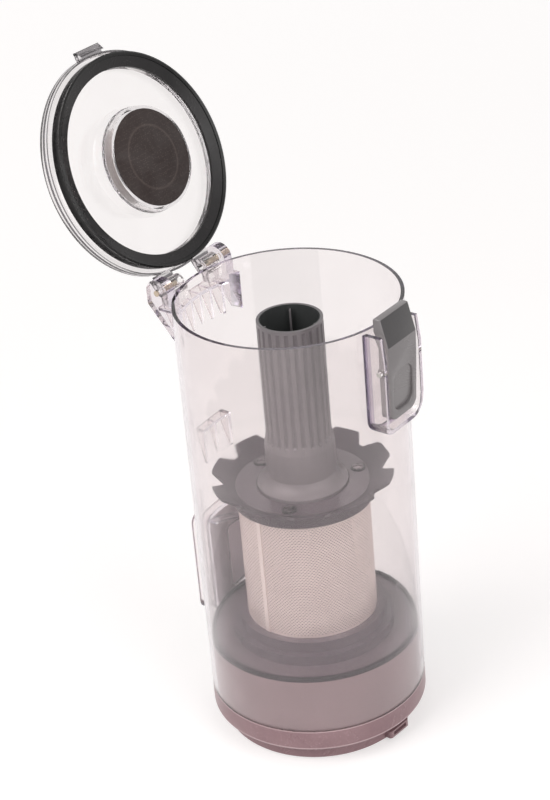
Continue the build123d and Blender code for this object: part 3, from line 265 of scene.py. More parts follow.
@dataclass
class EffectShelf:
    """Builds each shared effect once, as a node group."""

    shade_scale: float = 38.0
    shade_share: float = 0.65
    shade_span: Pair = (0.34, 0.66)
    smear_span: Pair = (0.38, 0.66)
    scratch_ways: tuple[tuple[Triple, float], ...] = (((1.0, 1.0, 0.045), 0.16), ((0.06, 0.06, 1.0), -0.22))
    scratch_width: float = 0.006
    patch_scale: float = 24.0
    patch_span: Pair = (0.52, 0.66)
    groups: dict[Effect, NodeTree] = field(default_factory=dict)

    def place(self, board: NodeBoard, effect: Effect, vector: Socket, **values: float) -> Node:
        """Place an effect in a material.

        Args:
            board: The material's node board.
            effect: The effect to place.
            vector: The coordinates that it follows.
            **values: Its inputs by name.

        Returns:
            The group node.
        """
        if effect not in self.groups:
            self.groups[effect] = self.build(effect)
        return board.add("ShaderNodeGroup", {"node_tree": self.groups[effect]}, Vector=vector, **values)

    def build(self, effect: Effect) -> NodeTree:
        """Make the node group of an effect.

        Args:
            effect: The effect to make.

        Returns:
            The group's node tree.
        """
        makers = {
            Effect.GRAIN: (self.grain, ("Size",), ("Height", "Shade")),
            Effect.MARKS: (self.marks, ("Size", "Low", "High"), ("Rough", "Mask")),
            Effect.HAIRLINES: (self.hairlines, ("Size",), ("Mask",)),
        }
        make, inputs, outputs = makers[effect]
        tree = bpy.data.node_groups.new(effect.value, "ShaderNodeTree")
        tree.interface.new_socket("Vector", in_out="INPUT", socket_type="NodeSocketVector")
        for name in inputs:
            tree.interface.new_socket(name, in_out="INPUT", socket_type="NodeSocketFloat")
        for name in outputs:
            tree.interface.new_socket(name, in_out="OUTPUT", socket_type="NodeSocketFloat")
        board = NodeBoard(tree)
        entry = board.add("NodeGroupInput")
        leave = board.add("NodeGroupOutput")
        scale = board.math("DIVIDE", 1.0, entry.outputs["Size"])
        for name, socket in make(board, entry, scale).items():
            board.put(leave.inputs[name], socket)
        return tree

    def grain(self, board: NodeBoard, entry: Node, scale: Socket) -> dict[str, Socket]:
        """Draw the fine spark-eroded grain of a mould and its slow change of shade.

        Args:
            board: The group's node board.
            entry: The group's input node.
            scale: The grain's scale.

        Returns:
            The group's outputs by name.
        """
        vector = entry.outputs["Vector"]
        fine = board.noise(vector, scale, Detail=3.0, Roughness=0.6)
        slow = board.noise(vector, self.shade_scale, Detail=4.0, Roughness=0.55)
        parts = (board.times(slow, self.shade_share), board.times(fine, 1.0 - self.shade_share))
        return {"Height": fine, "Shade": board.span(board.math("ADD", *parts), *self.shade_span)}

    def marks(self, board: NodeBoard, entry: Node, scale: Socket) -> dict[str, Socket]:
        """Draw the smudges that handling leaves, as a change of gloss.

        Args:
            board: The group's node board.
            entry: The group's input node.
            scale: The smudges' scale.

        Returns:
            The group's outputs by name.
        """
        smear = board.noise(entry.outputs["Vector"], scale, Detail=5.0, Roughness=0.62, Distortion=0.8)
        mask = board.span(smear, *self.smear_span)
        rough = board.span(mask, 0.0, 1.0, entry.outputs["Low"], entry.outputs["High"])
        return {"Rough": rough, "Mask": mask}

    def hairlines(self, board: NodeBoard, entry: Node, scale: Socket) -> dict[str, Socket]:
        """Draw fine scratches that run round and along the bin.

        Args:
            board: The group's node board.
            entry: The group's input node.
            scale: The scratches' scale.

        Returns:
            The group's outputs by name.
        """
        vector = entry.outputs["Vector"]
        masks = []
        for stretch, turn in self.scratch_ways:
            way = (turn, turn / 2, 0.0)
            turned = board.add("ShaderNodeMapping", Vector=vector, Rotation=way, Scale=stretch)
            line = board.noise(turned.outputs[0], scale, Detail=1.0)
            middle = board.math("ABSOLUTE", board.math("SUBTRACT", line, 0.5))
            masks.append(board.span(middle, 0.0, self.scratch_width, 1.0, 0.0))
        shown = board.span(board.noise(vector, self.patch_scale, Detail=2.0), *self.patch_span)
        return {"Mask": board.times(board.union(*masks), shown)}


EFFECTS = EffectShelf()


class FinishBoard(NodeBoard):
    """The node board of a material, with the place on its surface and its output."""

    def __init__(self, material: bpy.types.Material) -> None:
        """Empty the material's nodes and add the coordinates and the output.

        Args:
            material: The material.
        """
        material.use_nodes = True
        super().__init__(material.node_tree)
        self.place = self.add("ShaderNodeTexCoord").outputs["Object"]
        self.leave = self.add("ShaderNodeOutputMaterial")

    def effect(self, effect: Effect, **values: float) -> Node:
        """Place a shared effect on the surface, with its inputs by name."""
        return EFFECTS.place(self, effect, self.place, **values)

    def axis(self, name: str) -> Socket:
        """Give one coordinate of the place on the surface."""
        return self.add("ShaderNodeSeparateXYZ", Vector=self.place).outputs[name]

    def around_shut_lid(self) -> tuple[Socket, Socket]:
        """Measure the place on the open lid from the axis, as it is when the lid is shut.

        Returns:
            The distance from the axis, and the height.
        """
        shift = LID_HINGE - Matrix.Rotation(LID_OPEN, 3, "X") @ LID_HINGE
        turn = (LID_OPEN, 0.0, 0.0)
        shut = self.add("ShaderNodeMapping", Vector=self.place, Rotation=turn, Location=tuple(shift))
        return self.around(shut.outputs[0])

    def surface(self, height: Socket, relief: Pair, **sockets: object) -> Node:
        """Put a shader with a bump on the surface.

        Args:
            height: The height that the bump follows.
            relief: The bump's strength, and its depth in metres.
            **sockets: The shader's other inputs by name.

        Returns:
            The shader.
        """
        bump = self.add("ShaderNodeBump", Strength=relief[0], Distance=relief[1], Height=height)
        shader = self.add("ShaderNodeBsdfPrincipled", Normal=bump.outputs[0], **sockets)
        self.put(self.leave.inputs["Surface"], shader.outputs[0])
        return shader


@dataclass(frozen=True)
class Finish:
    """What every finish has: a name, and a material that is built once."""

    name: str

    def material(self) -> bpy.types.Material:
        """Give the finish's material, building it at the first call.

        Returns:
            The material.
        """
        if self not in MIXED:
            MIXED[self] = bpy.data.materials.new(self.name)
            self.paint(FinishBoard(MIXED[self]))
        return MIXED[self]

    def paint(self, board: FinishBoard) -> None:
        """Lay out the nodes of the finish."""
        raise NotImplementedError


MIXED: dict[Finish, bpy.types.Material] = {}


@dataclass(frozen=True)
class MouldedPlastic(Finish):
    """Opaque moulded plastic with a fine grain, a slow change of shade, handling marks and any flakes."""

    dark: Colour
    light: Colour
    smooth: float = 0.32
    rough: float = 0.5
    grain: float = 0.0006
    smudge: float = 0.03
    relief: Pair = (0.12, 0.0002)
    flake: float = 0.0
    flake_scale: float = 2600.0
    flake_span: Pair = (0.78, 0.95)
    flake_gain: float = 1.9
    flake_lift: float = 0.04

    def paint(self, board: FinishBoard) -> None:
        """Lay out the nodes of the finish.

        Args:
            board: The material's node board.
        """
        grain = board.effect(Effect.GRAIN, Size=self.grain)
        marks = board.effect(Effect.MARKS, Size=self.smudge, Low=self.smooth, High=self.rough)
        colour = self.colour(board, grain.outputs["Shade"])
        gloss = self.gloss(board, marks.outputs["Rough"])
        shader = board.surface(grain.outputs["Height"], self.relief, Roughness=gloss)
        if self.flake > 0:
            specks = board.add("ShaderNodeTexVoronoi", Vector=board.place, Scale=self.flake_scale)
            bright = board.times(board.span(specks.outputs["Color"], *self.flake_span), self.flake)
            glint = [min(1.0, part * self.flake_gain + self.flake_lift) for part in self.light[:3]]
            colour = board.blend(bright, colour, (*glint, 1.0))
            board.put(shader.inputs["Metallic"], bright)
        board.put(shader.inputs["Base Color"], colour)

    def colour(self, board: FinishBoard, shade: Socket) -> Socket:
        """Colour the plastic by its slow change of shade."""
        return board.blend(shade, self.dark, self.light)

    def gloss(self, board: FinishBoard, rough: Socket) -> Socket:
        """Keep the roughness that the handling marks give."""
        return rough


@dataclass(frozen=True)
class TwoTonePlastic(MouldedPlastic):
    """Moulded plastic with a second tone and gloss on one part of it; the pieces built on it use the second
    tone for painted shade and painted highlights.
    """

    second_dark: Colour = (0.1, 0.1, 0.1, 1.0)
    second_light: Colour = (0.12, 0.12, 0.12, 1.0)
    second_gloss: float = 1.0

    def mask(self, board: FinishBoard) -> Socket:
        """Mask the part that has the second tone."""
        raise NotImplementedError

    def colour(self, board: FinishBoard, shade: Socket) -> Socket:
        """Colour each part by its own two shades.

        Args:
            board: The material's node board.
            shade: The slow change of shade.

        Returns:
            The colour.
        """
        first = board.blend(shade, self.dark, self.light)
        second = board.blend(shade, self.second_dark, self.second_light)
        return board.blend(self.mask(board), first, second)

    def gloss(self, board: FinishBoard, rough: Socket) -> Socket:
        """Change the roughness of the second part."""
        return board.times(rough, board.span(self.mask(board), 0.0, 1.0, 1.0, self.second_gloss))


@dataclass(frozen=True)
class SplitPlastic(TwoTonePlastic):
    """Plastic whose second tone starts at one height."""

    split: float = 0.0
    split_edge: float = 0.0003

    def mask(self, board: FinishBoard) -> Socket:
        """Mask the part above the height where the tones meet."""
        half = self.split_edge / 2
        return board.span(board.axis("Z"), self.split - half, self.split + half)


@dataclass(frozen=True)
class BoredPlastic(TwoTonePlastic):
    """Plastic of the dust tube: painted shade in its bore, painted shade in the flutes and a painted
    highlight on their lands.
    """

    bore: float = 0.01
    ribs: float = 0.008
    land: float = 0.012
    flute_painted_shade: Colour = (0.1, 0.1, 0.1, 1.0)
    land_painted_highlight: Colour = (0.2, 0.2, 0.2, 1.0)
    flute_share: float = 0.5

    def mask(self, board: FinishBoard) -> Socket:
        """Mask the bore's wall for its painted shade, but not the ribs that stand in from it."""
        reach, _ = board.around(board.place)
        # The bore's darker tone is painted shade.
        return board.window(reach, self.ribs, self.bore, SOFT_EDGE)

    def colour(self, board: FinishBoard, shade: Socket) -> Socket:
        """Paint shade into the flutes and a highlight onto the lands between them.

        Args:
            board: The material's node board.
            shade: The slow change of shade.

        Returns:
            The colour.
        """
        reach, _ = board.around(board.place)
        flutes = board.window(reach, self.bore + SOFT_EDGE, self.land, 2 * SOFT_EDGE)
        lands = board.window(reach, self.land - SOFT_EDGE, self.land + SOFT_EDGE, FINE_EDGE)
        plain = super().colour(board, shade)
        # Painted shade in the flutes, then a painted highlight on the lands.
        grooved = board.blend(board.times(flutes, self.flute_share), plain, self.flute_painted_shade)
        return board.blend(board.times(lands, self.flute_share), grooved, self.land_painted_highlight)


@dataclass(frozen=True)
class EdgeHighlightPlastic(TwoTonePlastic):
    """Plastic of the base ring, with a painted highlight in the second tone along its two edges."""

    outside: float = 0.0532
    edges: tuple[Pair, Pair] = ((0.0102, 0.0111), (0.02, 0.0208))

    def mask(self, board: FinishBoard) -> Socket:
        """Mask the painted highlight lines along the two edges of the ring.

        Args:
            board: The material's node board.

        Returns:
            The mask.
        """
        reach, height = board.around(board.place)
        lines = board.union(*(board.window(height, low, high, SOFT_EDGE) for low, high in self.edges))
        return board.times(lines, board.span(reach, self.outside - SOFT_EDGE, self.outside))


@dataclass(frozen=True)
class ShadedFacePlastic(TwoTonePlastic):
    """Plastic of the lever, whose leaning upper face has the second tone as painted shade."""

    lean: float = 0.0
    reach: float = 0.0
    foot: float = 0.0
    fade: Pair = (0.00012, 0.00004)

    def mask(self, board: FinishBoard) -> Socket:
        """Mask the painted shade on the face between its foot and the rounded edges.

        Args:
            board: The material's node board.

        Returns:
            The mask.
        """
        turn = math.radians(self.lean)
        height = board.axis("Z")
        ahead = board.times(board.axis("Y"), -math.cos(turn))
        out = board.math("ADD", ahead, board.times(height, math.sin(turn)))
        # The upper face's darker tone is painted shade.
        face = board.span(out, self.reach - self.fade[0], self.reach - self.fade[1])
        return board.times(face, board.span(height, self.foot, self.foot + SOFT_EDGE))


@dataclass(frozen=True)
class ClearPlastic(Finish):
    """Clear moulded plastic: polished, faintly tinted in its depth, with smudges and hairline scratches."""

    tint: Colour
    lamp_tint: Colour
    depth_tint: Colour
    depth_density: float
    haze: float = 0.015
    smooth: float = 0.015
    rough: float = 0.07
    smudge: float = 0.05
    smudge_tint: float = 0.97
    scratch: float = 0.0022
    scratch_rough: float = 0.22
    index: float = 1.49

    def paint(self, board: FinishBoard) -> None:
        """Lay out the nodes of the finish, with a lighter shadow than the glassy shader gives.

        Args:
            board: The material's node board.
        """
        marks = board.effect(Effect.MARKS, Size=self.smudge, Low=self.smooth, High=self.rough)
        lines = board.effect(Effect.HAIRLINES, Size=self.scratch)
        wear_and_sheen = board.times(lines.outputs["Mask"], self.scratch_rough)
        shader = board.add(
            "ShaderNodeBsdfPrincipled",
            Base_Color=self.colour(board, marks.outputs["Mask"]),
            Roughness=board.math("ADD", marks.outputs["Rough"], wear_and_sheen),
            IOR=self.index,
            Transmission_Weight=1.0 - self.haze,
        )
        lamp_side = board.add("ShaderNodeBsdfTransparent", Color=self.lamp_tint)
        ray = board.add("ShaderNodeLightPath")
        mixed = board.add("ShaderNodeMixShader", Fac=ray.outputs["Is Shadow Ray"])
        board.put(mixed.inputs[1], shader.outputs[0])
        board.put(mixed.inputs[2], lamp_side.outputs[0])
        depth = board.add("ShaderNodeVolumeAbsorption", Color=self.depth_tint, Density=self.depth_density)
        board.put(board.leave.inputs["Surface"], mixed.outputs[0])
        board.put(board.leave.inputs["Volume"], depth.outputs[0])

    def colour(self, board: FinishBoard, smudge: Socket) -> Socket:
        """Dull the tint a little where the plastic is smudged."""
        wear_and_sheen = [part * self.smudge_tint for part in self.tint[:3]]
        return board.blend(smudge, self.tint, (*wear_and_sheen, 1.0))


@dataclass(frozen=True)
class BracketClear(ClearPlastic):
    """The bin's clear plastic, with painted shade deepening its tint where the latch bracket grows out of
    the tube.
    """

    # Painted shade at the bracket's root.
    root_painted_shade: Colour = (0.5, 0.44, 0.54, 1.0)
    root_start: float = 0.05405
    root_end: float = 0.0565
    front: float = -0.048
    front_fade: float = 0.001

    def colour(self, board: FinishBoard, smudge: Socket) -> Socket:
        """Paint shade into the tint round the bracket's root.

        Args:
            board: The material's node board.
            smudge: The mask of the smudges.

        Returns:
            The colour.
        """
        plain = super().colour(board, smudge)
        reach, _ = board.around(board.place)
        root = board.window(reach, self.root_start, self.root_end, SOFT_EDGE)
        ahead = board.span(board.axis("Y"), self.front, self.front + self.front_fade, 1.0, 0.0)
        # The root's deeper tint is painted shade.
        return board.blend(board.times(root, ahead), plain, self.root_painted_shade)


@dataclass(frozen=True)
class RimmedClear(ClearPlastic):
    """The lid's clear plastic, with painted shade lines along the edges and the groove of its rim."""

    # Painted shade along the rim's lines.
    rim_line_shade: Colour = (0.06, 0.055, 0.06, 1.0)
    rim: float = 0.0525
    lines: tuple[Pair, ...] = ((0.2304, 0.2313), (0.2326, 0.2339), (0.2354, 0.2372))

    def colour(self, board: FinishBoard, smudge: Socket) -> Socket:
        """Paint shade along the lines of the rim.

        Args:
            board: The material's node board.
            smudge: The mask of the smudges.

        Returns:
            The colour.
        """
        plain = super().colour(board, smudge)
        reach, height = board.around_shut_lid()
        lines = board.union(*(board.window(height, low, high, FINE_EDGE) for low, high in self.lines))
        outside = board.span(reach, self.rim, self.rim + SOFT_EDGE)
        # Painted shade along the rim's edges and groove.
        return board.blend(board.times(lines, outside), plain, self.rim_line_shade)


@dataclass(frozen=True)
class Rubber(Finish):
    """Moulded rubber with a paler bloom in patches and a fine grain."""

    dark: Colour
    bloom: Colour
    smooth: float = 0.36
    rough: float = 0.62
    shine: float = 0.3
    grain: float = 0.0009
    smudge: float = 0.02
    relief: Pair = (0.1, 0.0002)

    def paint(self, board: FinishBoard) -> None:
        """Lay out the nodes of the finish.

        Args:
            board: The material's node board.
        """
        grain = board.effect(Effect.GRAIN, Size=self.grain)
        marks = board.effect(Effect.MARKS, Size=self.smudge, Low=self.smooth, High=self.rough)
        board.surface(
            grain.outputs["Height"],
            self.relief,
            Base_Color=self.colour(board, marks.outputs["Mask"]),
            Roughness=marks.outputs["Rough"],
            Specular_IOR_Level=self.shine,
        )

    def colour(self, board: FinishBoard, patch: Socket) -> Socket:
        """Colour the rubber by its patches of bloom."""
        return board.blend(patch, self.dark, self.bloom)


@dataclass(frozen=True)
class FacedRubber(Rubber):
    """Rubber of the lid's gasket, with painted sheen greying its sealing face and a painted shade line
    along its bead.
    """

    face: Colour = (0.02, 0.02, 0.02, 1.0)
    face_sheen_least: float = 0.7
    line: Colour = (0.004, 0.004, 0.004, 1.0)
    bead: float = 0.04995
    groove_shade_width: float = 0.0005

    def colour(self, board: FinishBoard, patch: Socket) -> Socket:
        """Paint sheen that greys the face inside the bead, and paint shade along the line between them.

        Args:
            board: The material's node board.
            patch: The mask of the patches of bloom.

        Returns:
            The colour.
        """
        reach, _ = board.around_shut_lid()
        within = board.span(reach, self.bead - FINE_EDGE, self.bead, 1.0, 0.0)
        # Painted sheen greys the face inside the bead.
        wear_and_sheen = board.times(within, board.span(patch, 0.0, 1.0, self.face_sheen_least, 1.0))
        plain = board.blend(wear_and_sheen, super().colour(board, patch), self.face)
        half = self.groove_shade_width / 2
        # Painted shade along the groove line at the bead.
        edge = board.window(reach, self.bead - half, self.bead + half, FINE_EDGE)
        return board.blend(edge, plain, self.line)


@dataclass(frozen=True)
class DottedPad(Finish):
    """Pad with a dark dotted facing on a grey carrier, and a faint ring where the dust tube presses."""

    dark: Colour
    dot: Colour
    ring: Colour
    carrier: Colour
    facing_top: float
    ring_radius: float
    ring_fade: float = 0.0009
    ring_share: float = 0.4
    dot_size: float = 0.001
    dot_scatter: float = 0.55
    dot_span: Pair = (0.16, 0.34)
    dot_share: float = 0.8
    smooth: float = 0.7
    rough: float = 0.9
    smudge: float = 0.012
    relief: Pair = (0.35, 0.0003)

    def paint(self, board: FinishBoard) -> None:
        """Lay out the nodes of the finish.

        Args:
            board: The material's node board.
        """
        cells = board.add(
            "ShaderNodeTexVoronoi", Vector=board.place, Scale=1 / self.dot_size, Randomness=self.dot_scatter
        )
        dots = board.span(cells.outputs["Distance"], *self.dot_span, 1.0, 0.0)
        marks = board.effect(Effect.MARKS, Size=self.smudge, Low=self.smooth, High=self.rough)
        reach, height = board.around_shut_lid()
        off = board.math("ABSOLUTE", board.math("SUBTRACT", reach, self.ring_radius))
        pressed = board.times(board.span(off, 0.0, self.ring_fade, 1.0, 0.0), self.ring_share)
        behind = board.span(height, self.facing_top, self.facing_top + FINE_EDGE)
        colour = board.blend(board.times(dots, self.dot_share), self.dark, self.dot)
        colour = board.blend(pressed, colour, self.ring)
        board.surface(
            board.times(dots, board.math("SUBTRACT", 1.0, behind)),
            self.relief,
            Base_Color=board.blend(behind, colour, self.carrier),
            Roughness=marks.outputs["Rough"],
        )


@dataclass(frozen=True)
class SheetSteel(Finish):
    """Thin rolled steel sheet, brushed round the bin's axis, with a pale strip of welds along its seam."""

    metal: Colour
    bright: Colour
    seam: Colour
    seam_turn: float
    seam_arc: float
    seam_fade: float = 0.15
    weld_pitch: float = 0.0024
    weld_share: float = 0.2
    smooth: float = 0.32
    rough: float = 0.5
    smudge: float = 0.018
    streak: Triple = (60.0, 60.0, 2400.0)
    metallic: float = 0.55
    relief: Pair = (0.4, 0.0002)

    def strip(self, board: FinishBoard) -> Socket:
        """Mask the strip along the seam.

        Args:
            board: The material's node board.

        Returns:
            The mask.
        """
        about = {"rotation_type": "Z_AXIS"}
        back = -math.radians(self.seam_turn)
        spun = board.add("ShaderNodeVectorRotate", about, Vector=board.place, Angle=back)
        ahead = board.add("ShaderNodeSeparateXYZ", Vector=spun.outputs[0]).outputs
        turn = board.math("ABSOLUTE", board.math("ARCTAN2", ahead["Y"], ahead["X"]))
        half = self.seam_arc / 2
        return board.span(turn, math.radians(half), math.radians(half + self.seam_fade), 1.0, 0.0)

    def paint(self, board: FinishBoard) -> None:
        """Lay out the nodes of the finish.

        Args:
            board: The material's node board.
        """
        marks = board.effect(Effect.MARKS, Size=self.smudge, Low=self.smooth, High=self.rough)
        drawn = board.add("ShaderNodeMapping", Vector=board.place, Scale=self.streak)
        streaks = board.noise(drawn.outputs[0], 1.0, Detail=2.0)
        shade = board.times(board.math("ADD", marks.outputs["Mask"], streaks), 0.5)
        strip = self.strip(board)
        beat = board.math("PINGPONG", board.axis("Z"), self.weld_pitch / 2)
        weld = board.times(strip, board.span(beat, 0.0, self.weld_pitch * self.weld_share, 1.0, 0.0))
        board.surface(
            board.math("SUBTRACT", streaks, weld),
            self.relief,
            Base_Color=board.blend(strip, board.blend(shade, self.metal, self.bright), self.seam),
            Roughness=marks.outputs["Rough"],
            Metallic=self.metallic,
        )


@dataclass(frozen=True)
class TurnedSteel(Finish):
    """Plain steel of pins, screws and springs, with drawing marks."""

    dark: Colour
    light: Colour
    smooth: float = 0.22
    rough: float = 0.42
    grain: float = 0.0004
    smudge: float = 0.004
    relief: Pair = (0.08, 0.0001)

    def paint(self, board: FinishBoard) -> None:
        """Lay out the nodes of the finish.

        Args:
            board: The material's node board.
        """
        grain = board.effect(Effect.GRAIN, Size=self.grain)
        marks = board.effect(Effect.MARKS, Size=self.smudge, Low=self.smooth, High=self.rough)
        board.surface(
            grain.outputs["Height"],
            self.relief,
            Base_Color=board.blend(grain.outputs["Shade"], self.dark, self.light),
            Roughness=marks.outputs["Rough"],
            Metallic=1.0,
        )


CLEAR_BODY = BracketClear(
    "clear_body",
    tint=(0.968, 0.937, 0.924, 1.0),
    lamp_tint=(0.935, 0.885, 0.89, 1.0),
    depth_tint=(0.5, 0.43, 0.58, 1.0),
    depth_density=46.0,
)
CLEAR_LID = RimmedClear(
    "clear_lid",
    tint=(0.98, 0.965, 0.96, 1.0),
    lamp_tint=(0.95, 0.92, 0.915, 1.0),
    depth_tint=(0.5, 0.47, 0.5, 1.0),
    depth_density=28.0,
)
MAUVE = EdgeHighlightPlastic(
    "mauve_moulding",
    tone(138, 108, 113),
    tone(156, 126, 130),
    smooth=0.24,
    rough=0.4,
    flake=0.45,
    # Paler second tone: a painted highlight along the ring's edges.
    second_dark=tone(186, 158, 162),
    second_light=tone(204, 178, 181),
    second_gloss=0.6,
)
BAND_AND_FLOOR = SplitPlastic(
    "band_and_floor",
    tone(129, 112, 114),
    tone(141, 123, 125),
    # Darker second tone above the split: painted shade on the floor inside the bin.
    second_dark=tone(86, 78, 84),
    second_light=tone(100, 91, 97),
    second_gloss=0.3,
    split=0.0505,
)
SKIRT_GREY = MouldedPlastic("skirt_moulding", tone(66, 57, 63), tone(78, 68, 74))
PLATE_GREY = MouldedPlastic("plate_moulding", tone(84, 75, 81), tone(96, 87, 92), smooth=0.1, rough=0.2)
TUBE_GREY = BoredPlastic(
    "tube_moulding",
    tone(102, 97, 100),
    tone(114, 109, 111),
    # Darker second tone: painted shade inside the bore.
    second_dark=tone(54, 56, 56),
    second_light=tone(64, 66, 66),
    bore=0.0146,
    ribs=0.0136,
    land=0.0157,
    # Painted shade in the flutes and a painted highlight on the lands.
    flute_painted_shade=tone(90, 85, 88),
    land_painted_highlight=tone(118, 113, 115),
)
INNER_GREY = MouldedPlastic("inner_moulding", tone(62, 60, 62), tone(74, 72, 74))
LEVER_GREY = ShadedFacePlastic(
    "lever_moulding",
    tone(120, 116, 117),
    tone(132, 128, 129),
    smooth=0.16,
    rough=0.3,
    # Darker second tone: painted shade on the lever's upper face.
    second_dark=tone(62, 60, 61),
    second_light=tone(74, 72, 73),
    lean=15.22,
    reach=0.119244,
    foot=0.2226,
)
SEAL_RUBBER = Rubber("seal_rubber", tone(20, 20, 21), tone(34, 33, 33), smooth=0.22, rough=0.4, shine=0.2)
GASKET_RUBBER = FacedRubber(
    "gasket_rubber",
    tone(22, 22, 22),
    tone(34, 33, 33),
    smooth=0.2,
    rough=0.36,
    shine=0.25,
    # Greyer face tone: painted sheen on the sealing face.
    face=tone(38, 36, 37),
)
BASE_RUBBER = Rubber("base_rubber", tone(44, 37, 43), tone(56, 48, 54), shine=0.2)
PAD_FACING = DottedPad(
    "cellular_pad",
    dark=tone(46, 36, 34),
    dot=tone(80, 69, 65),
    ring=tone(98, 86, 82),
    carrier=tone(150, 142, 141),
    facing_top=0.2205,
    ring_radius=0.0152,
)
INLET_RUBBER = Rubber("flap_rubber", tone(206, 194, 201), tone(218, 207, 213), smooth=0.5, rough=0.7)
SCREEN_STEEL = SheetSteel(
    "pierced_sheet",
    metal=tone(214, 200, 196),
    bright=tone(232, 220, 215),
    seam=tone(230, 219, 214),
    seam_turn=SEAM_TURN,
    seam_arc=4.6,
)
PIN_STEEL = TurnedSteel("pin_steel", tone(168, 164, 160), tone(204, 200, 196))
HINGE_STEEL = TurnedSteel("hinge_steel", tone(158, 144, 126), tone(194, 180, 162))
SCREW_ZINC = TurnedSteel("screw_zinc", tone(108, 101, 104), tone(138, 131, 133))
# Dark washers: painted shade round each screw head.
WASHER_SHADE = Rubber("washer_painted_shade", tone(24, 23, 24), tone(36, 35, 36))


def dress(**finishes: Finish) -> None:
    """Put a finish on each node that is carried over as it is.

    Args:
        **finishes: The finishes, by the names of the nodes.
    """
    for node, finish in finishes.items():
        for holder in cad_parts[node].material_slots:
            holder.material = finish.material()
        LOG.info("%s wears %s", node, finish.name)


def settle(
    mesh: BMesh, name: str, body: Body, finish: Finish, stands_for: tuple[str, ...]
) -> bpy.types.Object:
    """Turn a bmesh into a finished piece.

    Args:
        mesh: The piece's bmesh, in metres and in place; it is freed.
        name: The piece's name.
        body: The body that the piece moves with.
        finish: The finish to put on it.
        stands_for: The nodes that the piece replaces.

    Returns:
        The new object.
    """
    data = bpy.data.meshes.new(name)
    mesh.to_mesh(data)
    mesh.free()
    data.materials.append(finish.material())
    data.shade_smooth()
    data.set_sharp_from_angle(angle=SHADE_ANGLE)
    piece = bpy.data.objects.new(name, data)
    bpy.context.scene.collection.objects.link(piece)
    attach(piece, body.value)
    if stands_for:
        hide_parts(*stands_for)
    LOG.info("%s has %d faces and rides on %s", name, len(data.polygons), body.value)
    return piece


def spin(mesh: BMesh, geom: list[BMVert | BMEdge | BMFace], angle: float, steps: int) -> None:
    """Spin a form round the upright axis, closing a full turn.

    Args:
        mesh: The form's bmesh.
        geom: The form's vertices, edges and faces.
        angle: The angle to spin through.
        steps: The number of steps in it.
    """
    whole = angle == math.tau
    bmesh.ops.spin(mesh, geom=geom, axis=UPRIGHT, cent=ORIGIN, angle=angle, steps=steps, use_merge=whole)


def skin(mesh: BMesh) -> None:
    """Merge the doubles of a spun mesh and turn its faces outwards."""
    bmesh.ops.remove_doubles(mesh, verts=mesh.verts[:], dist=SPUN_MERGE)
    bmesh.ops.recalc_face_normals(mesh, faces=mesh.faces[:])


def merged(node: str) -> BMesh:
    """Copy a node's mesh and join its faces at their shared points.

    Args:
        node: The node's name.

    Returns:
        The new bmesh.
    """
    mesh = bmesh.new()
    mesh.from_mesh(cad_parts[node].data)
    bmesh.ops.remove_doubles(mesh, verts=mesh.verts[:], dist=NODE_MERGE)
    return mesh


def ease(node: str, chosen: Callable[[BMEdge], bool], width: float, segments: int) -> BMesh:
    """Copy a node's mesh and round the sharp edges that are chosen.

    Args:
        node: The node's name.
        chosen: Tells whether an edge is rounded.
        width: The width of the rounding.
        segments: The number of faces across it.

    Returns:
        The new bmesh.
    """
    mesh = merged(node)
    bmesh.ops.dissolve_limit(mesh, angle_limit=FLAT_ANGLE, verts=mesh.verts[:], edges=mesh.edges[:])
    sharp = [edge for edge in mesh.edges if edge.is_manifold and edge.calc_face_angle() > ROUND_ANGLE]
    bmesh.ops.bevel(
        mesh,
        geom=[edge for edge in sharp if chosen(edge)],
        offset=width,
        offset_type="OFFSET",
        affect="EDGES",
        segments=segments,
        profile=0.5,
        material=-1,
        clamp_overlap=False,
    )
    return mesh


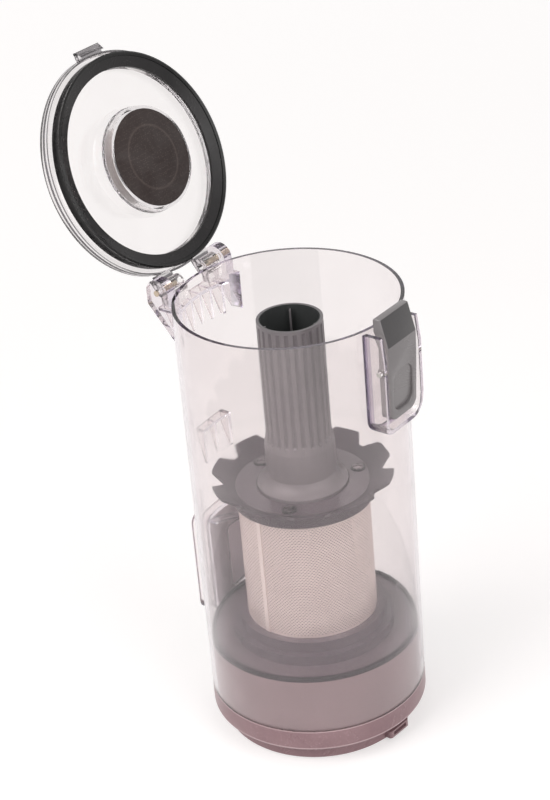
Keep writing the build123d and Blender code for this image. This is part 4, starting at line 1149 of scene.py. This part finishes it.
@dataclass
class PanScrews:
    """A ring of pan head screws with a crossed recess, each on a dark washer that stands in as painted
    shade round its head.
    """

    node: str
    up: bool
    circle: float = 0.0283
    turn: float = 83.0
    count: int = 3
    head_radius: float = 0.0029
    seat_drop: float = 0.0017
    head_height: float = 0.001
    crown: float = 0.0003
    shank_radius: float = 0.0014
    shank_length: float = 0.006
    washer_radius: float = 0.0037
    washer_height: float = 0.0004
    washer_play: float = 1.05
    washer_steps: int = 32
    cuts: int = 9
    cross_arm: float = 3.6
    cross_half: float = 0.6
    cross_depth: float = 0.0005
    cross_taper: float = 0.82
    cross_start: float = 0.4
    cross_turn: float = 1.7

    def press_cross(self, mesh: BMesh, cross: list[BMFace]) -> list[BMVert]:
        """Press the crossed recess into a screw's head.

        Args:
            mesh: The screw's bmesh.
            cross: The faces of the head that are pressed in.

        Returns:
            The vertices of the recess's floor.
        """
        pressed = bmesh.ops.extrude_face_region(mesh, geom=cross)["geom"]
        floor = [part for part in pressed if isinstance(part, BMVert)]
        bmesh.ops.delete(mesh, geom=cross, context="FACES_ONLY")
        bmesh.ops.scale(mesh, verts=floor, vec=(self.cross_taper, self.cross_taper, 1.0))
        bmesh.ops.translate(mesh, verts=floor, vec=(0.0, 0.0, -self.cross_depth))
        return floor

    def add_screw(self, mesh: BMesh) -> list[BMVert]:
        """Add one screw that stands on the origin with its head up.

        Args:
            mesh: The bmesh to add to.

        Returns:
            The screw's vertices.
        """
        top = bmesh.ops.create_grid(mesh, x_segments=self.cuts, y_segments=self.cuts, size=1.0)["verts"]
        cell = 2.0 / self.cuts
        cross = []
        for face in dict.fromkeys(face for vert in top for face in vert.link_faces):
            middle = face.calc_center_median()
            near, far = sorted((abs(middle.x), abs(middle.y)))
            if near < self.cross_half * cell and far < self.cross_arm * cell:
                cross.append(face)
        for vert in top:
            x, y = vert.co.x, vert.co.y
            vert.co.x = self.head_radius * x * math.sqrt(1 - y * y / 2)
            vert.co.y = self.head_radius * y * math.sqrt(1 - x * x / 2)
            share = (vert.co.x**2 + vert.co.y**2) / self.head_radius**2
            vert.co.z = self.head_height - self.crown * share
        loop = [edge for edge in mesh.edges if edge.is_boundary and edge.verts[0] in top]
        made = list(top)
        for move, shrink in (
            (self.crown - self.head_height + self.washer_height, 1.0),
            (0.0, self.shank_radius / self.head_radius),
            (-self.shank_length, 1.0),
        ):
            drawn = bmesh.ops.extrude_edge_only(mesh, edges=loop)["geom"]
            ring = [part for part in drawn if isinstance(part, BMVert)]
            loop = [part for part in drawn if isinstance(part, BMEdge) and part.is_boundary]
            bmesh.ops.scale(mesh, verts=ring, vec=(shrink, shrink, 1.0))
            bmesh.ops.translate(mesh, verts=ring, vec=(0.0, 0.0, move))
            made += ring
        bmesh.ops.holes_fill(mesh, edges=loop, sides=len(loop))
        return made + self.press_cross(mesh, cross)

    def add_washer(self, mesh: BMesh) -> list[BMVert]:
        """Add the washer under a screw, a dark ring of painted shade round its head.

        Args:
            mesh: The bmesh to add to.

        Returns:
            The washer's vertices.
        """
        bore, edge, top = self.shank_radius * self.washer_play, self.washer_radius, self.washer_height
        corners = ((bore, 0.0), (edge, 0.0), (edge, top), (bore, top))
        section = [mesh.verts.new((radius, 0.0, height)) for radius, height in corners]
        edges = [mesh.edges.new((section[step - 1], section[step])) for step in range(len(section))]
        old = set(mesh.verts)
        spin(mesh, section + edges, math.tau, self.washer_steps)
        return section + [vert for vert in mesh.verts if vert not in old]

    def spread(self, add: Callable[[BMesh], list[BMVert]]) -> BMesh:
        """Set copies of one form round the plate.

        Args:
            add: Adds the form to a bmesh and gives its vertices.

        Returns:
            The bmesh with every copy in place.
        """
        low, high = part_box(self.node)
        seat = high.z - self.seat_drop if self.up else low.z + self.seat_drop
        mesh = bmesh.new()
        for step in range(self.count):
            verts = [vert for vert in dict.fromkeys(add(mesh)) if vert.is_valid]
            turn = math.radians(self.turn + 360.0 * step / self.count)
            spot = (self.circle * math.cos(turn), self.circle * math.sin(turn), seat)
            if not self.up:
                over = Matrix.Rotation(math.pi, 3, "X")
                bmesh.ops.rotate(mesh, verts=verts, cent=ORIGIN, matrix=over)
            driven = Matrix.Rotation(self.cross_turn * step + self.cross_start, 3, "Z")
            bmesh.ops.rotate(mesh, verts=verts, cent=ORIGIN, matrix=driven)
            bmesh.ops.translate(mesh, verts=verts, vec=spot)
        skin(mesh)
        return mesh

    def build(self) -> None:
        """Set the screws and their washers, the dark rings of painted shade, round the plate."""
        heads, washers = self.spread(self.add_screw), self.spread(self.add_washer)
        settle(heads, self.node + "_heads", Body.BIN, SCREW_ZINC, (self.node,))
        # The washers' dark finish is painted shade.
        settle(washers, self.node + "_washers", Body.BIN, WASHER_SHADE, ())


@dataclass
class MachineEnd:
    """The mauve base ring, the grey cyclone base in it, and its seal."""

    def build(self) -> None:
        """Dress the ring, the base and the seal."""
        dress(base_ring=MAUVE, cyclone_base=BAND_AND_FLOOR, base_seal=BASE_RUBBER)


@dataclass
class CycloneCore:
    """The screen on its cage, the toothed skirt, the clamp plate and the fluted dust tube."""

    screen_radius: float = 0.0325
    screen_wall: float = 0.00022
    hole_columns: int = 120
    hole_rows: int = 70
    plain_rows: int = 2
    seam_turn: float = SEAM_TURN
    seam_arc: float = 4.4
    seam_height: float = 0.00042
    seam_steps: int = 6

    def is_hole(self, middle: Vector, bottom: float, pitch: float) -> bool:
        """Tell whether a face of the sheet is one of its staggered holes.

        Args:
            middle: The face's middle.
            bottom: The sheet's lower edge.
            pitch: The height of one row of faces.

        Returns:
            True for a hole.
        """
        row = int((middle.z - bottom) / pitch)
        turn = math.atan2(middle.y, middle.x) % math.tau
        column = int(turn / math.tau * 2 * self.hole_columns)
        within = self.plain_rows < row < 2 * self.hole_rows - self.plain_rows
        return within and row % 2 == 1 and (column + row // 2) % 2 == 0

    def pierce_screen(self) -> None:
        """Roll the pierced sheet round the cage and lap its seam."""
        low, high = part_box("mesh_screen")
        mesh = bmesh.new()
        foot = mesh.verts.new((self.screen_radius, 0.0, low.z))
        head = mesh.verts.new((self.screen_radius, 0.0, high.z))
        line = mesh.edges.new((foot, head))
        bmesh.ops.subdivide_edges(mesh, edges=[line], cuts=2 * self.hole_rows - 1)
        spin(mesh, mesh.verts[:] + mesh.edges[:], math.tau, 2 * self.hole_columns)
        skin(mesh)
        pitch = (high.z - low.z) / (2 * self.hole_rows)
        holes = [face for face in mesh.faces if self.is_hole(face.calc_center_median(), low.z, pitch)]
        bmesh.ops.delete(mesh, geom=holes, context="FACES")
        bmesh.ops.solidify(mesh, geom=mesh.faces[:], thickness=self.screen_wall)
        self.lap_seam(mesh, low.z, high.z)
        settle(mesh, "pierced_screen", Body.BIN, SCREEN_STEEL, ("mesh_screen",))

    def lap_seam(self, mesh: BMesh, bottom: float, top: float) -> None:
        """Lay the strip that covers the sheet's joint.

        Args:
            mesh: The sheet's bmesh.
            bottom: The strip's lower end.
            top: The strip's upper end.
        """
        inner = self.screen_radius - self.screen_wall
        outer = self.screen_radius + self.seam_height
        corners = ((inner, bottom), (outer, bottom), (outer, top), (inner, top))
        section = [mesh.verts.new((radius, 0.0, height)) for radius, height in corners]
        face = mesh.faces.new(section)
        start = Matrix.Rotation(math.radians(self.seam_turn - self.seam_arc / 2), 3, "Z")
        bmesh.ops.rotate(mesh, verts=section, cent=ORIGIN, matrix=start)
        old = set(mesh.faces)
        spin(mesh, section + face.edges[:] + [face], math.radians(self.seam_arc), self.seam_steps)
        strip = [part for part in mesh.faces if part not in old] + [face]
        bmesh.ops.recalc_face_normals(mesh, faces=strip)

    def build(self) -> None:
        """Make the screen and the screws, and dress the core's other nodes."""
        self.pierce_screen()
        PanScrews("plate_screws", up=True).build()
        PanScrews("outlet_screws", up=False).build()
        dress(mesh_frame=INNER_GREY, cyclone_cones=INNER_GREY, outlet_plate=INNER_GREY)
        dress(outlet_seal=SEAL_RUBBER, skirt=SKIRT_GREY, clamp_plate=PLATE_GREY)
        dress(cone_gasket=SEAL_RUBBER, dust_tube=TUBE_GREY)


@dataclass
class ClearBin:
    """The clear tube with its hinge ears, latch bracket, inlet frame and lug."""

    def build(self) -> None:
        """Dress the clear body, its hinge pins and the inlet's flap."""
        dress(bin_body=CLEAR_BODY, hinge_pin=HINGE_STEEL, inlet_flap=INLET_RUBBER)


@dataclass
class Lid:
    """The clear lid with its gasket and its pad."""

    pad_thickness: float = 0.0065
    back_gap: float = 0.0001

    def seated_pad(self) -> BMesh:
        """Copy the pad and draw its back just clear of the boss that carries it.

        Returns:
            The new bmesh.
        """
        mesh = merged("lid_pad")
        forward = Matrix.Rotation(-LID_OPEN, 3, "X") @ -Vector(UPRIGHT)
        depths = {vert: vert.co.dot(forward) for vert in mesh.verts}
        middle = max(depths.values()) - self.pad_thickness / 2
        back = [vert for vert, depth in depths.items() if depth < middle]
        bmesh.ops.translate(mesh, verts=back, vec=forward * self.back_gap)
        return mesh

    def build(self) -> None:
        """Dress the lid's nodes and seat its pad."""
        dress(lid_shell=CLEAR_LID, lid_gasket=GASKET_RUBBER)
        settle(self.seated_pad(), "seated_pad", Body.LID, PAD_FACING, ("lid_pad",))


@dataclass
class Latch:
    """The latch lever with its pin and its spring."""

    rounding: float = 0.0006
    rounding_steps: int = 3
    crease: Pair = (-0.063, 0.2226)
    foot: Pair = (-0.062, 0.1845)
    top: Pair = (-0.0593, 0.2362)
    slack: float = 0.00003
    spring_seat: Triple = (0.0, -0.054, 0.194)
    spring_keep: float = 0.5

    def on_front(self, place: Vector) -> bool:
        """Tell whether a point is on the lever's front or on its top.

        Args:
            place: The point.

        Returns:
            True where the point is on one of those faces.
        """
        for low, high in ((self.foot, self.crease), (self.crease, self.top)):
            along = Vector(high) - Vector(low)
            off = along.normalized().cross(Vector((place.y, place.z)) - Vector(low))
            if abs(off) < self.slack and low[1] - self.slack < place.z < high[1] + self.slack:
                return True
        return place.z > self.top[1] - self.slack

    def is_front_edge(self, edge: BMEdge) -> bool:
        """Tell whether both ends of an edge are on the lever's front or on its top."""
        return all(self.on_front(vert.co) for vert in edge.verts)

    def build(self) -> None:
        """Round the lever's front edges, dress the pin, and copy the spring as a piece on the bin."""
        lever = ease("latch_lever", self.is_front_edge, self.rounding, self.rounding_steps)
        settle(lever, "eased_lever", Body.LATCH, LEVER_GREY, ("latch_lever",))
        dress(latch_pin=PIN_STEEL)
        coil = merged("latch_spring")
        spring = settle(coil, "pressed_spring", Body.BIN, PIN_STEEL, ("latch_spring",))
        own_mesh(spring)


@dataclass(frozen=True)
class SoftBox:
    """A square studio lamp."""

    name: str
    place: Triple
    side: float
    watts: float
    colour: Triple


@dataclass
class Studio:
    """Floor, white surroundings, lamps and camera."""

    floor_side: float = 12.0
    floor_colour: Colour = (0.6, 0.588, 0.585, 1.0)
    floor_roughness: float = 0.7
    floor_shine: float = 0.2
    glow_colour: Colour = (1.0, 0.99, 0.985, 1.0)
    glow_span: Pair = (0.5, 2.4)
    glow_near: float = 0.52
    glow_far: float = 0.72
    room_colour: Colour = (1.0, 0.985, 0.98, 1.0)
    room_light: float = 0.44
    bounces: int = 40
    glossy_bounces: int = 24
    clear_bounces: int = 32
    lens: float = 93.286
    sensor: float = 36.0
    clip: Pair = (0.01, 50.0)
    camera_place: Triple = (-0.677398, -0.536707, 0.641511)
    camera_turn: Triple = (61.61874, 4.47935, -53.3627)
    aim: Triple = (0.0, 0.0, 0.12)
    lamps: tuple[SoftBox, ...] = (
        SoftBox("key_lamp", (-1.25, 0.45, 1.35), 1.1, 18.0, (1.0, 0.985, 0.975)),
        SoftBox("fill_lamp", (-0.25, -1.5, 0.95), 1.2, 12.0, (1.0, 0.99, 0.985)),
    )

    def white_rays(self, board: NodeBoard) -> Socket:
        """Find the rays that see the white surroundings: camera, glossy and transmission rays."""
        ray = board.add("ShaderNodeLightPath").outputs
        return board.union(ray["Is Camera Ray"], ray["Is Glossy Ray"], ray["Is Transmission Ray"])

    def lay_floor(self) -> None:
        """Lay the pale floor, which keeps the object's shadow."""
        mesh = bmesh.new()
        bmesh.ops.create_grid(mesh, x_segments=1, y_segments=1, size=self.floor_side / 2)
        data = bpy.data.meshes.new("floor")
        mesh.to_mesh(data)
        mesh.free()
        data.materials.append(bpy.data.materials.new("studio_floor"))
        board = FinishBoard(data.materials[0])
        reach, _ = board.around(board.place)
        glow = board.span(reach, *self.glow_span, self.glow_near, self.glow_far)
        shader = board.add(
            "ShaderNodeBsdfPrincipled",
            Base_Color=self.floor_colour,
            Roughness=self.floor_roughness,
            Specular_IOR_Level=self.floor_shine,
            Emission_Color=self.glow_colour,
            Emission_Strength=board.times(self.white_rays(board), glow),
        )
        board.put(board.leave.inputs["Surface"], shader.outputs[0])
        floor = bpy.data.objects.new("floor", data)
        bpy.context.scene.collection.objects.link(floor)

    def light_room(self) -> None:
        """Make the surroundings white and hang the lamps."""
        scene = bpy.context.scene
        world = bpy.data.worlds.new("studio")
        world.use_nodes = True
        scene.world = world
        board = NodeBoard(world.node_tree)
        strength = board.span(self.white_rays(board), 0.0, 1.0, self.room_light, 1.0)
        light = board.add("ShaderNodeBackground", Color=self.room_colour, Strength=strength)
        leave = board.add("ShaderNodeOutputWorld")
        board.put(leave.inputs["Surface"], light.outputs[0])
        for box in self.lamps:
            data = bpy.data.lights.new(box.name, "AREA")
            data.size = box.side
            data.energy = box.watts
            data.color = box.colour
            lamp = bpy.data.objects.new(box.name, data)
            lamp.location = box.place
            lamp.rotation_euler = (Vector(self.aim) - Vector(box.place)).to_track_quat("-Z", "Y").to_euler()
            scene.collection.objects.link(lamp)

    def set_camera(self) -> None:
        """Put the camera where the picture is taken from."""
        data = bpy.data.cameras.new("camera")
        data.lens = self.lens
        data.sensor_width = self.sensor
        data.clip_start, data.clip_end = self.clip
        camera = bpy.data.objects.new("camera", data)
        camera.location = self.camera_place
        camera.rotation_euler = Euler([math.radians(turn) for turn in self.camera_turn])
        bpy.context.scene.collection.objects.link(camera)
        bpy.context.scene.camera = camera

    def build(self) -> None:
        """Set up the whole studio, with enough light bounces for the clear walls."""
        bpy.context.scene.view_settings.view_transform = "Standard"
        light = bpy.context.scene.cycles
        light.max_bounces = self.bounces
        light.glossy_bounces = self.glossy_bounces
        light.transmission_bounces = self.clear_bounces
        self.lay_floor()
        self.light_room()
        self.set_camera()


def main() -> None:
    """Build the sub-assemblies in order."""
    logging.basicConfig(level=logging.INFO, format="%(name)s: %(message)s")
    for part in (Studio(), MachineEnd(), CycloneCore(), ClearBin(), Lid(), Latch()):
        part.build()


if __name__ == "__main__":
    main()
